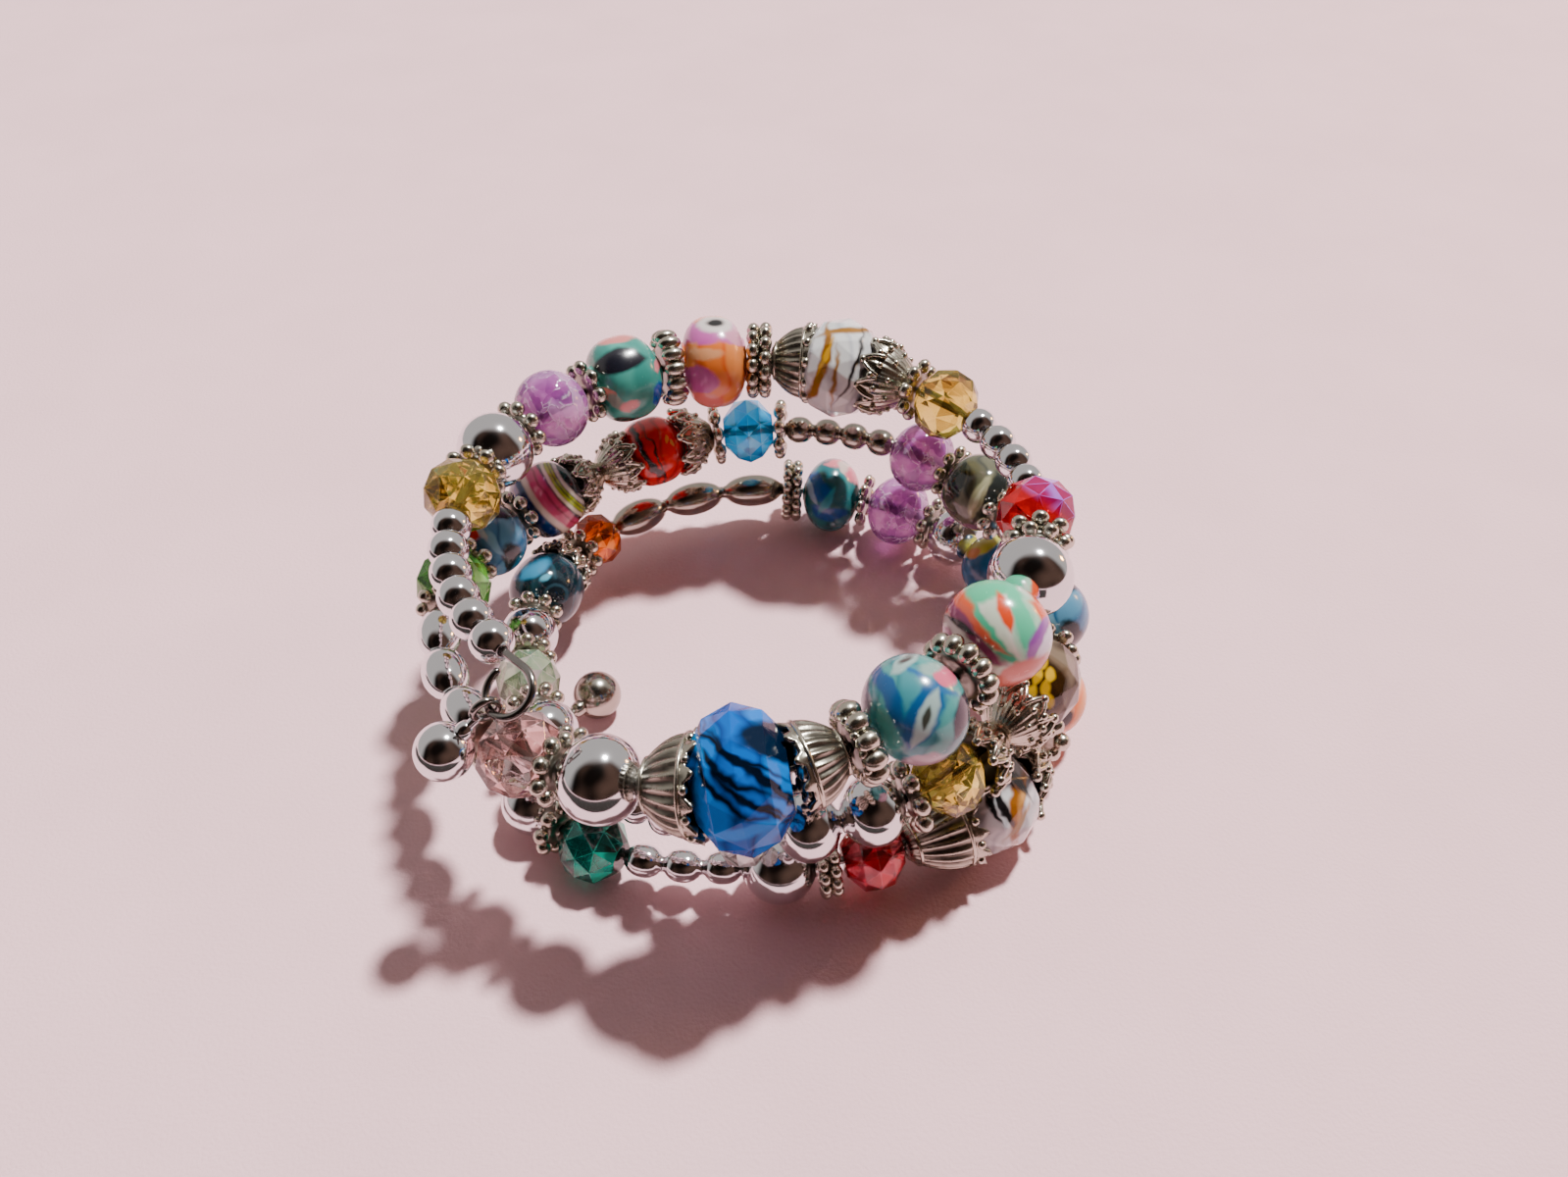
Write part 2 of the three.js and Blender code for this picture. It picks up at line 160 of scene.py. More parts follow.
# Painted light on cut glass: each facet gets a chance tone of its tint in place of the light that it catches,
# and the narrow faces of softened edges a bright one, a painted glint
CHANCE = (12.9, 7.8, 3.7)
CHANCE_SPREAD = 43.7
EDGE_AREA = 0.25
PAINTED_EDGE_GLINT = 0.8


class Piece:
    """A piece while it is made. Its points have a depth in its hollows and a spot on the shown side, and its
    faces a finish, a tone of the tint that is painted light on cut facets, and whether they are rounded."""

    def __init__(self):
        self.points, self.hollow, self.spots = [], [], []
        self.faces, self.finishes, self.tones, self.rounded = [], [], [], []
        self.move, self.facing = Matrix.Identity(4), Matrix.Identity(3)

    def add(self, points, faces, finish, rounded=True, hollow=None, tones=None):
        first = len(self.points)
        moved = [self.move @ Vector(p) for p in points]
        self.points += moved
        self.spots += [self.facing @ (p - self.move.translation) for p in moved]
        self.hollow += hollow or [0.0] * len(points)
        self.faces += [[first + n for n in face] for face in faces]
        self.finishes += [finish] * len(faces)
        self.rounded += [rounded] * len(faces)
        self.tones += tones or [0.5] * len(faces)

    def turn(self, outline, finish, around, wave=None, hollow=0.0):
        """Turns an outline of (along, radius) rows round the wire and closes it through its bore."""
        points, depth, faces = [], [], []
        for k, (along, radius) in enumerate(outline):
            for angle in circle(around):
                push, grow, low = wave(k, angle) if wave else (0.0, 1.0, hollow)
                points.append(round_wire(along + push, radius * grow, angle))
                depth.append(low)
            faces += band(k * around, (k + 1) % len(outline) * around, around)
        self.add(points, faces, finish, hollow=depth)

    def granule(self, centre, radius, finish, squeeze=1.0, around=12, rows=8):
        """A small ball, which squeeze makes flatter along the wire."""
        x, y, z = centre
        points = [(x, y, z - radius)]
        faces = [(0, 1 + (n + 1) % around, 1 + n) for n in range(around)]
        for k in range(1, rows):
            level = -math.pi / 2 + math.pi * k / rows
            wide, up = radius * math.cos(level), z + radius * math.sin(level)
            points += [(x + squeeze * wide * math.cos(a), y + wide * math.sin(a), up) for a in circle(around)]
        points.append((x, y, z + radius))
        for k in range(rows - 2):
            faces += band(1 + k * around, 1 + (k + 1) * around, around)
        last = len(points) - 1
        top = last - around
        faces += [(top + n, top + (n + 1) % around, last) for n in range(around)]
        self.add(points, faces, finish)

    def granules(self, along, ring, radius, finish, angles, squeeze=1.0, **fineness):
        """A small ball at each of the angles round the wire."""
        for angle in angles:
            self.granule(round_wire(along, ring, angle), radius, finish, squeeze, **fineness)

    def tube(self, path, radius, finish, sides=10, closed=False):
        """A round rod along a path, with domed ends unless it closes on itself."""
        path = [Vector(p) for p in path]
        count = len(path)
        ways = []
        for k in range(count):
            before = path[k - 1] if k or closed else path[k]
            after = path[(k + 1) % count] if k < count - 1 or closed else path[k]
            ways.append((after - before).normalized())
        side = ways[0].orthogonal().normalized()
        rings = []
        for centre, way in zip(path, ways):
            side = (side - side.dot(way) * way).normalized()
            rings.append((centre, side, way.cross(side), radius))
        if not closed:
            first, final = rings[0], rings[-1]
            for step in (0.6, 0.95):
                wide = radius * math.sqrt(1 - step * step)
                rings.insert(0, (path[0] - ways[0] * radius * step, first[1], first[2], wide))
                rings.append((path[-1] + ways[-1] * radius * step, final[1], final[2], wide))
        points = [
            centre + (a * math.cos(angle) + b * math.sin(angle)) * wide
            for centre, a, b, wide in rings for angle in circle(sides)
        ]
        faces = []
        for k in range(len(rings) if closed else len(rings) - 1):
            faces += band(k * sides, (k + 1) % len(rings) * sides, sides)
        if not closed:
            faces.append(tuple(reversed(range(sides))))
            faces.append(tuple(range(len(points) - sides, len(points))))
        self.add(points, faces, finish)

    def cut(self, rings, corners, finish, edge):
        """A faceted stone: the hull of rings of (along, radius, start) corners, with its edges softened."""
        mesh = bmesh.new()
        for along, radius, start in rings:
            for angle in circle(corners, start):
                mesh.verts.new(round_wire(along, radius, angle))
        bmesh.ops.convex_hull(mesh, input=mesh.verts)
        bmesh.ops.dissolve_limit(mesh, angle_limit=math.radians(1), verts=mesh.verts, edges=mesh.edges)
        bmesh.ops.bevel(mesh, geom=mesh.edges[:], offset=edge, segments=1, affect="EDGES")
        bmesh.ops.recalc_face_normals(mesh, faces=mesh.faces)
        mesh.verts.index_update()
        points = [v.co.copy() for v in mesh.verts]
        faces = [[v.index for v in face.verts] for face in mesh.faces]
        # The painted light of each facet
        tones = [self.tone(face.calc_center_median(), face.calc_area()) for face in mesh.faces]
        mesh.free()
        self.add(points, faces, finish, rounded=False, tones=tones)

    @staticmethod
    def tone(middle, area):
        """A facet's painted light: a chance depth of the tint in place of the light that the facet catches.
        The narrow faces of softened edges are all bright, as painted glints.
        """
        chance = math.sin(sum(part * weight for part, weight in zip(middle, CHANCE))) * CHANCE_SPREAD
        return chance % 1.0 if area > EDGE_AREA else PAINTED_EDGE_GLINT

    def finish(self, name, place, slot, nodes):
        """The Blender object: put at its place, and riding on the frame instead of its nodes."""
        mesh = bpy.data.meshes.new(name)
        mesh.from_pydata([p * MM for p in self.points], [], self.faces)
        names = list(dict.fromkeys(self.finishes))
        for finish in names:
            mesh.materials.append(material(finish))
        mesh.polygons.foreach_set("material_index", [names.index(f) for f in self.finishes])
        mesh.polygons.foreach_set("use_smooth", self.rounded)
        mesh.attributes.new("hollow", "FLOAT", "POINT").data.foreach_set("value", self.hollow)
        mesh.attributes.new("facet", "FLOAT", "FACE").data.foreach_set("value", self.tones)
        spots = mesh.attributes.new("spot", "FLOAT_VECTOR", "POINT")
        spots.data.foreach_set("vector", [v for p in self.spots for v in p])
        piece = bpy.data.objects.new(name, mesh)
        bpy.context.collection.objects.link(piece)
        piece.matrix_world = Matrix.Translation(place * MM)
        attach(piece, "root")
        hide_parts(*nodes)


def strung(make):
    """Lets a shape be written into the string by its sizes, its finish and how many follow one another."""
    def beads(length, diameter, finish=OLD, count=1, **options):
        return [(beads, length, diameter, finish, options)] * count
    beads.make = make
    return beads


BEAD_RIM = 0.85  # of the radius where its side ends
BEAD_DISH = 0.98  # how far along its bore begins


def bead_outline(length, diameter, fullness, end, steps):
    """The outline of a bead: an oval, or squarer with more fullness, that ends at a radius round its bore."""
    middle = []
    for k in range(steps + 1):
        u = -math.cos(math.pi * k / steps)
        swell = (1 - abs(u) ** fullness) ** (1 / fullness) if abs(u) < 1 else 0.0
        middle.append((length / 2 * u, max(end, diameter / 2 * swell)))
    return mirrored([(length / 2 * BEAD_DISH, BORE), (length / 2, end * BEAD_RIM)], middle)


@strung
def round_bead(piece, length, diameter, finish):
    piece.turn(bead_outline(length, diameter, 2.2, 0.75, 14), finish, 28)


@strung
def oval_bead(piece, length, diameter, finish):
    piece.turn(bead_outline(length, diameter, 2.0, 0.75, 22), finish, 32)


@strung
def ball(piece, length, diameter, finish):
    piece.turn(bead_outline(length, diameter, 2.05, 1.1, 30), finish, 56)


@strung
def barrel(piece, length, diameter, finish):
    piece.turn(bead_outline(length, diameter, 2.6, diameter * 0.24, 30), finish, 56)


CLOSE = 0.86  # how much of its share of a ring a granule fills


@strung
def daisy(piece, length, diameter, finish):
    """A flat spacer with a ring of eight ball tips round it."""
    petals = 8
    spread = math.sin(math.pi / petals) * CLOSE
    ring = diameter / 2 / (1 + spread)
    tip = ring * spread
    disc = ring - tip * 0.35
    thick = length * 0.32
    half = [(thick * 0.8, BORE), (thick, disc * 0.55), (thick * 0.8, disc * 0.86)]
    piece.turn(mirrored(half, [(0.0, disc)]), finish, 32, hollow=0.6)
    piece.granules(0.0, ring, tip, finish, circle(petals), min(1.0, length / 2 / tip * 1.15))


@strung
def rondelle(piece, length, diameter, finish):
    """A ring with two rows of granules round its rim."""
    rows, grains = 2, 13
    radius = diameter / 2
    grain = radius * math.sin(math.pi / grains) * CLOSE
    core = radius - grain * 1.3
    half = [(length * 0.42, BORE), (length * 0.46, core * 0.8), (length * 0.42, core)]
    piece.turn(mirrored(half, []), finish, 40, hollow=0.75)
    for row in range(rows):
        piece.granules(length * ((row + 0.5) / rows - 0.5), radius - grain, grain, finish,
                       circle(grains, row / 2), min(1.0, length / rows / 2 * 1.1 / grain))


FINE = {"around": 10, "rows": 7}  # for the least granules


@strung
def knob_ring(piece, length, diameter, finish, knobs, grit=0.0):
    """A ring of big knobs, with granules of radius grit between them on its far side."""
    knob = diameter / 2 * math.sin(math.pi / knobs) * 0.84
    ring = diameter / 2 - knob
    half = [(length * 0.3, BORE), (length * 0.34, ring * 0.7), (length * 0.28, ring)]
    piece.turn(mirrored(half, []), finish, 40, hollow=0.7)
    piece.granules(0.0, ring, knob, finish, circle(knobs), min(2.0, length / 2 / knob))
    if grit:
        piece.granules(length / 2 - grit, ring * 0.97, grit, finish, circle(knobs, 0.5), **FINE)


CAP_OVERLAP = 0.7  # how far a cap reaches over the next bead
CAP_WALL = 0.4
CAP_BACK = 0.3
CAP_ROWS = 22
INSIDE_DEPTH = 0.9


def bell(length, radius, steps, flare):
    """The outer line of a cap, from its narrow end to its open one, where it flares."""
    line = []
    for k in range(steps + 1):
        t = k / steps
        swell = 0.34 + 0.58 * math.sin(math.pi / 2 * min(t * 1.15, 1.0)) ** 0.85 + flare * t ** 6
        line.append((-length / 2 + length * t, radius * min(swell, 1.0)))
    return line


def cap_shell(piece, length, radius, finish, wave, around, flare=0.0):
    """The thin shell of a cap. On its outside, wave(t, angle) gives push along the wire, growth and depth."""
    outer = bell(length, radius, CAP_ROWS, flare)
    inner = [(along + CAP_BACK * (1 - k / CAP_ROWS), max(BORE, wide - CAP_WALL))
             for k, (along, wide) in enumerate(outer)]

    def shape(k, angle):
        inside = k > CAP_ROWS + 1
        t = max(0.0, (2 * CAP_ROWS + 2 - k if inside else k - 1) / CAP_ROWS)
        push, grow, dark = wave(t, angle)
        return push, 1.0 if inside else grow, INSIDE_DEPTH if inside else dark

    piece.turn([(-length / 2, BORE)] + outer + inner[::-1], finish, around, shape)


def add_cap(piece, cap_piece, finish, way):
    """Adds a cap to its row, shifted over the next bead, and turned round where it opens backwards."""
    points = [Vector((way * (p.x + CAP_OVERLAP / 2), way * p.y, p.z)) for p in cap_piece.points]
    piece.add(points, cap_piece.faces, finish, hollow=cap_piece.hollow)


@strung
def cap(piece, length, diameter, finish, way=1, grains=0.0):
    """A bell cap that opens towards way: finely ribbed, with a toothed or beaded rim over the next bead."""
    ribs, teeth, flare = 22, 0.75, 0.08
    radius = diameter / 2
    length += CAP_OVERLAP
    own = Piece()

    def wave(t, angle):
        rib = math.cos(ribs * angle)
        fade = math.sin(math.pi * min(1.0, t * 1.1)) ** 0.5 if t < 0.91 else 0.0
        tooth = max(0.0, math.cos(ribs / 2 * angle)) * max(0.0, (t - 0.8) / 0.2) ** 2
        return teeth * tooth, 1 + 0.045 * rib * fade + 0.08 * tooth, (0.5 - 0.5 * rib) * fade + 0.2

    cap_shell(own, length, radius, finish, wave, ribs * 6, flare)
    line = bell(length, radius, 50, flare)
    for row, wide in ((43, 0.22), (6, 0.2)):  # a wire round its rim and one round its neck
        along, rim = line[row]
        own.tube([round_wire(along, rim, angle) for angle in circle(66)], wide, finish, 8, True)
    if grains:
        own.granules(length / 2 - 0.1, radius * 0.97, grains, finish, circle(ribs // 2, 0.5), **FINE)
    add_cap(piece, own, finish, way)


@strung
def lace_cap(piece, length, diameter, finish, way=1, petals=10, reach=0.5, pins=0.0):
    """A flower cap that opens towards way: granules all over, petals at its rim, and pins on every other."""
    radius = diameter / 2
    length += CAP_OVERLAP
    own = Piece()

    def wave(t, angle):
        lobe, vein = math.cos(petals * angle), math.cos(3 * petals * angle)
        push = reach * (0.5 * lobe - 0.5) * t ** 3
        grow = 1 + 0.03 * lobe * t + 0.02 * vein * math.sin(math.pi * t)
        return push, grow, 0.2 * (1 - lobe) * t + 0.08 * (1 - vein) * math.sin(math.pi * t)

    cap_shell(own, length, radius * 0.93, finish, wave, petals * 16)
    line = bell(length, radius * 0.96, 40, 0.0)
    for n, (tip, notch) in enumerate(zip(circle(petals), circle(petals, 0.5))):
        edge = []
        for k in range(-5, 6):
            along, wide = line[round(40 * (1.0 - 0.4 * abs(k / 5) ** 1.5))]
            edge.append(round_wire(along, wide * 1.03, tip + k / 5 * math.pi / petals * 0.86))
        own.tube(edge, 0.26, finish, 8)
        for angle, row, size in ((tip, 40, 0.5), (notch, 29, 0.44), (tip, 24, 0.4), (notch, 14, 0.34)):
            along, wide = line[row]
            own.granule(round_wire(along, wide * 1.02, angle), size, finish, **FINE)
        if pins and n % 2:
            rim, root = length / 2, radius * 0.86
            end = round_wire(rim + pins * 0.6, radius + pins * 0.2, tip)
            own.tube([round_wire(rim - 0.5, root, tip), round_wire(rim + pins * 0.2, root + 0.5, tip), end],
                     0.36, finish)
            own.granule(end, 0.52, finish)
    add_cap(piece, own, finish, way)


@strung
def crystal(piece, length, diameter, finish):
    """A faceted rondelle: a row of kites on each side of a zigzag girdle."""
    rows = ((-1.0, 0.44, 0.5), (-0.5, 0.9, 0.0), (0.0, 1.0, 0.5), (0.5, 0.9, 0.0), (1.0, 0.44, 0.5))
    rings = [(length / 2 * along, diameter / 2 * wide, start) for along, wide, start in rows]
    piece.cut(rings, 9, finish, 0.035)


@strung
def cut_round(piece, length, diameter, finish, edge=0.05):
    """A round bead cut all over in rows of facets."""
    levels = [math.radians(degrees) for degrees in (-64, -34, 0, 34, 64)]
    rings = []
    for k, level in enumerate(levels):
        along = length / 2 * math.sin(level) / math.sin(levels[-1])
        rings.append((along, diameter / 2 * math.cos(level) ** 0.8, 0.5 * (k % 2)))
    piece.cut(rings, 12, finish, edge)


# ---------------------------------------------------------------- finishes


def shade(hexadecimal):
    """A colour as it is picked on a screen, made linear."""
    values = [int(hexadecimal[n:n + 2], 16) / 255 for n in (0, 2, 4)]
    return tuple(v / 12.92 if v <= 0.04045 else ((v + 0.055) / 1.055) ** 2.4 for v in values)


FULLER = 1.08
DEEPER = 0.78


def rich(hexadecimal):
    """A colour made deeper and fuller, as glazed clay and cased glass look in strong light."""
    colour = shade(hexadecimal)
    grey = sum(colour) / 3
    return tuple(max(0.0, grey + (v - grey) * FULLER) * DEEPER for v in colour)


class Nodes:
    """A node tree while it is wired up. Colours are given without their alpha."""

    COLUMNS, COLUMN_WIDTH, ROW_HEIGHT = 12, 180, 220

    def __init__(self, tree):
        self.tree = tree

    def add(self, kind, inputs=(), **settings):
        """A new node's outputs."""
        row, column = divmod(len(self.tree.nodes), self.COLUMNS)
        node = self.tree.nodes.new(kind)
        node.location = (self.COLUMN_WIDTH * column, -self.ROW_HEIGHT * row)
        for key, value in settings.items():
            setattr(node, key, value)
        for name, value in dict(inputs).items():
            self.put(node.inputs[name], value)
        return node.outputs

    def put(self, socket, value):
        if isinstance(value, bpy.types.NodeSocket):
            self.tree.links.new(value, socket)
        elif socket.type == "RGBA":
            socket.default_value = (*value, 1.0)
        else:
            socket.default_value = value

    def math(self, operation, first, second=0.0, clamp=False):
        return self.add("ShaderNodeMath", {0: first, 1: second}, operation=operation, use_clamp=clamp)[0]

    def plus(self, first, second, clamp=False):
        return self.math("ADD", first, second, clamp)

    def times(self, first, second):
        return self.math("MULTIPLY", first, second)

    def vector(self, operation, first, second):
        """SCALE takes a number as its second value, and DOT_PRODUCT gives one."""
        inputs = {0: first, "Scale" if operation == "SCALE" else 1: second}
        outputs = self.add("ShaderNodeVectorMath", inputs, operation=operation)
        return outputs["Value" if operation == "DOT_PRODUCT" else "Vector"]

    def mix(self, share, first, second):
        return self.add("ShaderNodeMix", {0: share, 6: first, 7: second}, data_type="RGBA")[2]

    def spread(self, value, low, high, new_low=0.0, new_high=1.0):
        return self.add("ShaderNodeMapRange", {0: value, 1: low, 2: high, 3: new_low, 4: new_high},
                        interpolation_type="SMOOTHSTEP")[0]

    def ramp(self, value, stops):
        """A blend from colour to colour, given with their places."""
        outputs = self.add("ShaderNodeValToRGB", {0: value})
        bar = outputs[0].node.color_ramp
        while len(bar.elements) < len(stops):
            bar.elements.new(1.0)
        for element, (place, colour) in zip(bar.elements, stops):
            element.position = place
            element.color = (*colour, 1.0)
        return outputs["Color"]

    def noise(self, vector, scale, detail=2.0, roughness=0.5, output="Fac"):
        return self.add("ShaderNodeTexNoise", {"Vector": vector, "Scale": scale, "Detail": detail,
                                               "Roughness": roughness})[output]

    def wander(self, vector, scale, detail, reach):
        """Places pushed about by noise."""
        noise = self.noise(vector, scale, detail, output="Color")
        push = self.vector("SCALE", self.vector("SUBTRACT", noise, (0.5, 0.5, 0.5)), reach)
        return self.vector("ADD", vector, push)

    def bump(self, height, strength, distance):
        return self.add("ShaderNodeBump", {"Height": height, "Strength": strength, "Distance": distance})[0]

    def place(self):
        return self.add("ShaderNodeTexCoord")["Object"]

    def attribute(self, name, output="Fac"):
        return self.add("ShaderNodeAttribute", attribute_name=name)[output]


def group(name, inputs, outputs, build):
    """A node group with a Vector and other inputs, made once. build(nodes, inputs) gives its values."""
    tree = bpy.data.node_groups.get(name)
    if tree:
        return tree
    tree = bpy.data.node_groups.new(name, "ShaderNodeTree")
    tree.interface.new_socket("Vector", in_out="INPUT", socket_type="NodeSocketVector")
    for label, default in inputs.items():
        kind = "NodeSocketVector" if isinstance(default, tuple) else "NodeSocketFloat"
        tree.interface.new_socket(label, in_out="INPUT", socket_type=kind).default_value = default
    for label in outputs:
        tree.interface.new_socket(label, in_out="OUTPUT", socket_type="NodeSocketFloat")
    nodes = Nodes(tree)
    made = build(nodes, tree.nodes.new("NodeGroupInput").outputs)
    result = tree.nodes.new("NodeGroupOutput")
    for label, socket in zip(outputs, made):
        nodes.put(result.inputs[label], socket)
    return tree


def drifts_group():
    """Broad drifts of colour that wander and fold, as in marbled clay or drawn glass."""
    def build(nodes, given):
        folded = nodes.wander(given["Vector"], given["Fold size"], 1.0, given["Fold"])
        return [nodes.add("ShaderNodeTexWave", {"Vector": folded, "Scale": given["Bands"]})["Fac"]]
    return group("Marbled drifts", {"Bands": 0.3, "Fold": 1.5, "Fold size": 0.9}, ["Value"], build)


def patch_group():
    """An inlaid spot or stroke: oval to leaf-shaped, bent or straight, with a wandering edge."""
    def build(nodes, given):
        wandering = nodes.wander(given["Vector"], 2.2, 2.0, given["Wander"])
        near = nodes.vector("SUBTRACT", wandering, given["Centre"])
        turned = nodes.add("ShaderNodeVectorRotate", {"Vector": near, "Angle": given["Turn"]},
                           rotation_type="Z_AXIS")[0]
        x, y, _ = nodes.add("ShaderNodeSeparateXYZ", {0: turned})
        half_length, half_width, _ = nodes.add("ShaderNodeSeparateXYZ", {0: given["Size"]})
        bent = nodes.math("SUBTRACT", y, nodes.times(given["Bend"], nodes.times(x, x)))
        along = nodes.math("POWER", nodes.math("ABSOLUTE", nodes.math("DIVIDE", x, half_length)), 2.0)
        across = nodes.math("ABSOLUTE", nodes.math("DIVIDE", bent, half_width))
        oval = nodes.math("SQRT", nodes.plus(along, nodes.math("POWER", across, 2.0)))
        shape = nodes.add("ShaderNodeMix", {0: given["Point"], 2: oval, 3: nodes.plus(along, across)})[0]
        soft = nodes.plus(0.1, nodes.math("DIVIDE", 0.028, half_width))
        return [nodes.spread(shape, nodes.math("SUBTRACT", 1.0, soft), nodes.plus(1.0, soft), 1.0, 0.0)]
    inputs = {"Centre": (0.0, 0.0, 0.0), "Size": (0.3, 0.2, 1.0), "Turn": 0.0, "Bend": 0.0, "Point": 0.0,
              "Wander": 0.14}
    return group("Inlaid patch", inputs, ["Mask"], build)


def handling_group():
    """Fine wear from handling: a roughness that varies a little, and a faint unevenness."""
    def build(nodes, given):
        broad = nodes.noise(given["Vector"], 260.0)
        fine = nodes.noise(given["Vector"], 1900.0, 3.0)
        change = nodes.times(nodes.math("SUBTRACT", broad, 0.45), given["Change"])
        scuffs = nodes.times(nodes.spread(fine, 0.55, 0.75), given["Scuffs"])
        rough = nodes.plus(nodes.plus(given["Roughness"], change), scuffs, True)
        return [rough, nodes.plus(broad, nodes.times(fine, 0.25))]
    inputs = {"Roughness": 0.1, "Change": 0.05, "Scuffs": 0.05}
    return group("Handling", inputs, ["Roughness", "Height"], build)


def handled(nodes, roughness, change, scuffs):
    """The roughness and height of a handled surface."""
    inputs = {"Vector": nodes.place(), "Roughness": roughness, "Change": change, "Scuffs": scuffs}
    outputs = nodes.add("ShaderNodeGroup", inputs, node_tree=handling_group())
    return outputs["Roughness"], outputs["Height"]


def surface(name, build, *values, **options):
    """A new material. build(nodes, ...) gives the inputs of its Principled shader."""
    made = bpy.data.materials.new(name)
    made.use_nodes = True
    nodes = Nodes(made.node_tree)
    shader = made.node_tree.nodes["Principled BSDF"]
    for label, value in build(nodes, *values, **options).items():
        nodes.put(shader.inputs[label], value)
    return made


def silver(nodes, settings, tint="", gloss=0.0):
    """Bright plating, which a tint darkens and gloss blurs."""
    rough, height = handled(nodes, settings.silver_roughness + gloss, 0.03, 0.03)
    tone = nodes.spread(nodes.noise(nodes.place(), 300.0), 0.4, 0.7)
    clean = shade(tint) if tint else settings.silver_colour
    return {"Base Color": nodes.mix(tone, clean, [0.84 * v for v in clean]), "Roughness": rough,
            "Normal": nodes.bump(height, 0.05, 0.0002), "Metallic": 1.0}


def old_silver(nodes, settings):
    """Cast pewter, bright on its high spots and darker in its hollows."""
    rough, height = handled(nodes, 0.21, 0.15, 0.08)
    grain = nodes.spread(nodes.noise(nodes.place(), 900.0, 3.0), 0.5, 0.8, 0.0, 0.2)
    dark = nodes.plus(nodes.times(nodes.attribute("hollow"), 0.8), grain, True)
    return {"Base Color": nodes.mix(dark, settings.old_silver_colour, settings.tarnish_colour),
            "Roughness": nodes.plus(rough, nodes.times(dark, 0.15), True),
            "Normal": nodes.bump(height, 0.5, 0.0002), "Metallic": 1.0}


def tinted_glass(nodes, settings, deep, middle, bright, clear=0.65, flash=""):
    """Cut glass with painted light: each facet is painted its own depth of the tint, from deep to bright, in
    place of the light that it catches, and a flash, a painted glint of its own colour, can cover the
    brightest facets on its upper right."""
    drift = nodes.math("SUBTRACT", nodes.noise(nodes.place(), 200.0, 1.0), 0.5)
    value = nodes.plus(nodes.attribute("facet"), nodes.times(drift, 0.9), True)
    deep, middle, bright = shade(deep), shade(middle), shade(bright)
    crest = middle if flash else bright
    tint = nodes.ramp(value, [(0.1, deep), (0.45, middle), (0.7, middle), (0.92, crest)])
    if flash:
        # The flash is a painted glint: bright facets on the upper right of the shown side, where the key
        # light falls, are painted lighter
        side = nodes.vector("DOT_PRODUCT", nodes.attribute("spot", "Vector"), (0.6, 0.8, 0.0))
        lit = nodes.ramp(value, [(0.62, shade(flash)), (0.7, bright)])
        tint = nodes.mix(nodes.spread(side, 0.8, 2.2), tint, lit)
    rough, height = handled(nodes, settings.glass_roughness, 0.02, 0.03)
    return {"Base Color": tint, "Roughness": rough, "Normal": nodes.bump(height, 0.04, 0.0001),
            "IOR": settings.glass_ior, "Transmission Weight": clear}


def crackle_glass(nodes, settings, deep, middle, pale, crack):
    """Tinted glass crazed inside, with broken cracks and flakes that catch the light."""
    place = nodes.place()
    cells = {"Vector": nodes.wander(place, 420.0, 2.0, 0.003), "Scale": 620.0}
    flake = nodes.add("ShaderNodeSeparateColor", {0: nodes.add("ShaderNodeTexVoronoi", cells)["Color"]})[0]
    edge = nodes.add("ShaderNodeTexVoronoi", cells, feature="DISTANCE_TO_EDGE")["Distance"]
    broken = nodes.spread(nodes.noise(place, 700.0), 0.44, 0.56)
    line = nodes.times(nodes.spread(edge, 0.02, 0.09, 1.0, 0.0), broken)
    cloud = nodes.spread(nodes.noise(place, 260.0, 3.0, 0.6), 0.3, 0.7, 0.0, 0.55)
    value = nodes.plus(nodes.times(flake, 0.5), cloud, True)
    tint = nodes.ramp(value, [(0.15, shade(deep)), (0.5, shade(middle)), (0.85, shade(pale))])
    return {"Base Color": nodes.mix(nodes.times(line, 0.42), tint, shade(crack)),
            "Roughness": nodes.spread(line, 0.0, 1.0, 0.05, 0.3),
            "Normal": nodes.bump(nodes.plus(value, line), 0.2, 0.0004),
            "IOR": settings.glass_ior, "Transmission Weight": 0.5}


DRIFTS_FROM, DRIFTS_TO = 0.15, 0.85
PLAIN_PATCH = (0.14, 0.0, 0.0)  # its wander, bend and point


def marbled(nodes, settings, radius, drifts, patches, gloss=0.22, coat=0.35, glass=0.0, grain=0.1, ior=1.5):
    """A bead of drifting colours with patches inlaid over them. Places on it are in bead radii: x to the
    right and y up on its shown side."""
    place = nodes.vector("SCALE", nodes.attribute("spot", "Vector"), 1.0 / radius)
    drift = nodes.add("ShaderNodeGroup", {"Vector": place}, node_tree=drifts_group())[0]
    step = (DRIFTS_TO - DRIFTS_FROM) / (len(drifts) - 1)
    colour = nodes.ramp(drift, [(DRIFTS_FROM + step * n, rich(hue)) for n, hue in enumerate(drifts)])
    for hue, x, y, half_length, half_width, tilt, *more in patches:
        wander, bend, point = (*more, *PLAIN_PATCH[len(more):])
        mask = nodes.add("ShaderNodeGroup", {
            "Vector": place, "Centre": (x, y, 0.0), "Size": (half_length, half_width, 1.0),
            "Turn": -math.radians(tilt), "Bend": bend, "Point": point, "Wander": wander,
        }, node_tree=patch_group())[0]
        colour = nodes.mix(mask, colour, rich(hue))
    rough, height = handled(nodes, gloss, 0.08, 0.06)
    return {"Base Color": colour, "Roughness": rough, "Normal": nodes.bump(height, grain, 0.0002),
            "Coat Weight": coat, "Coat Roughness": 0.06, "IOR": ior, "Transmission Weight": glass}


BLACK, WHITE = "141416", "EFEDE6"
LAMPWORK = {"gloss": 0.12, "coat": 0.4}

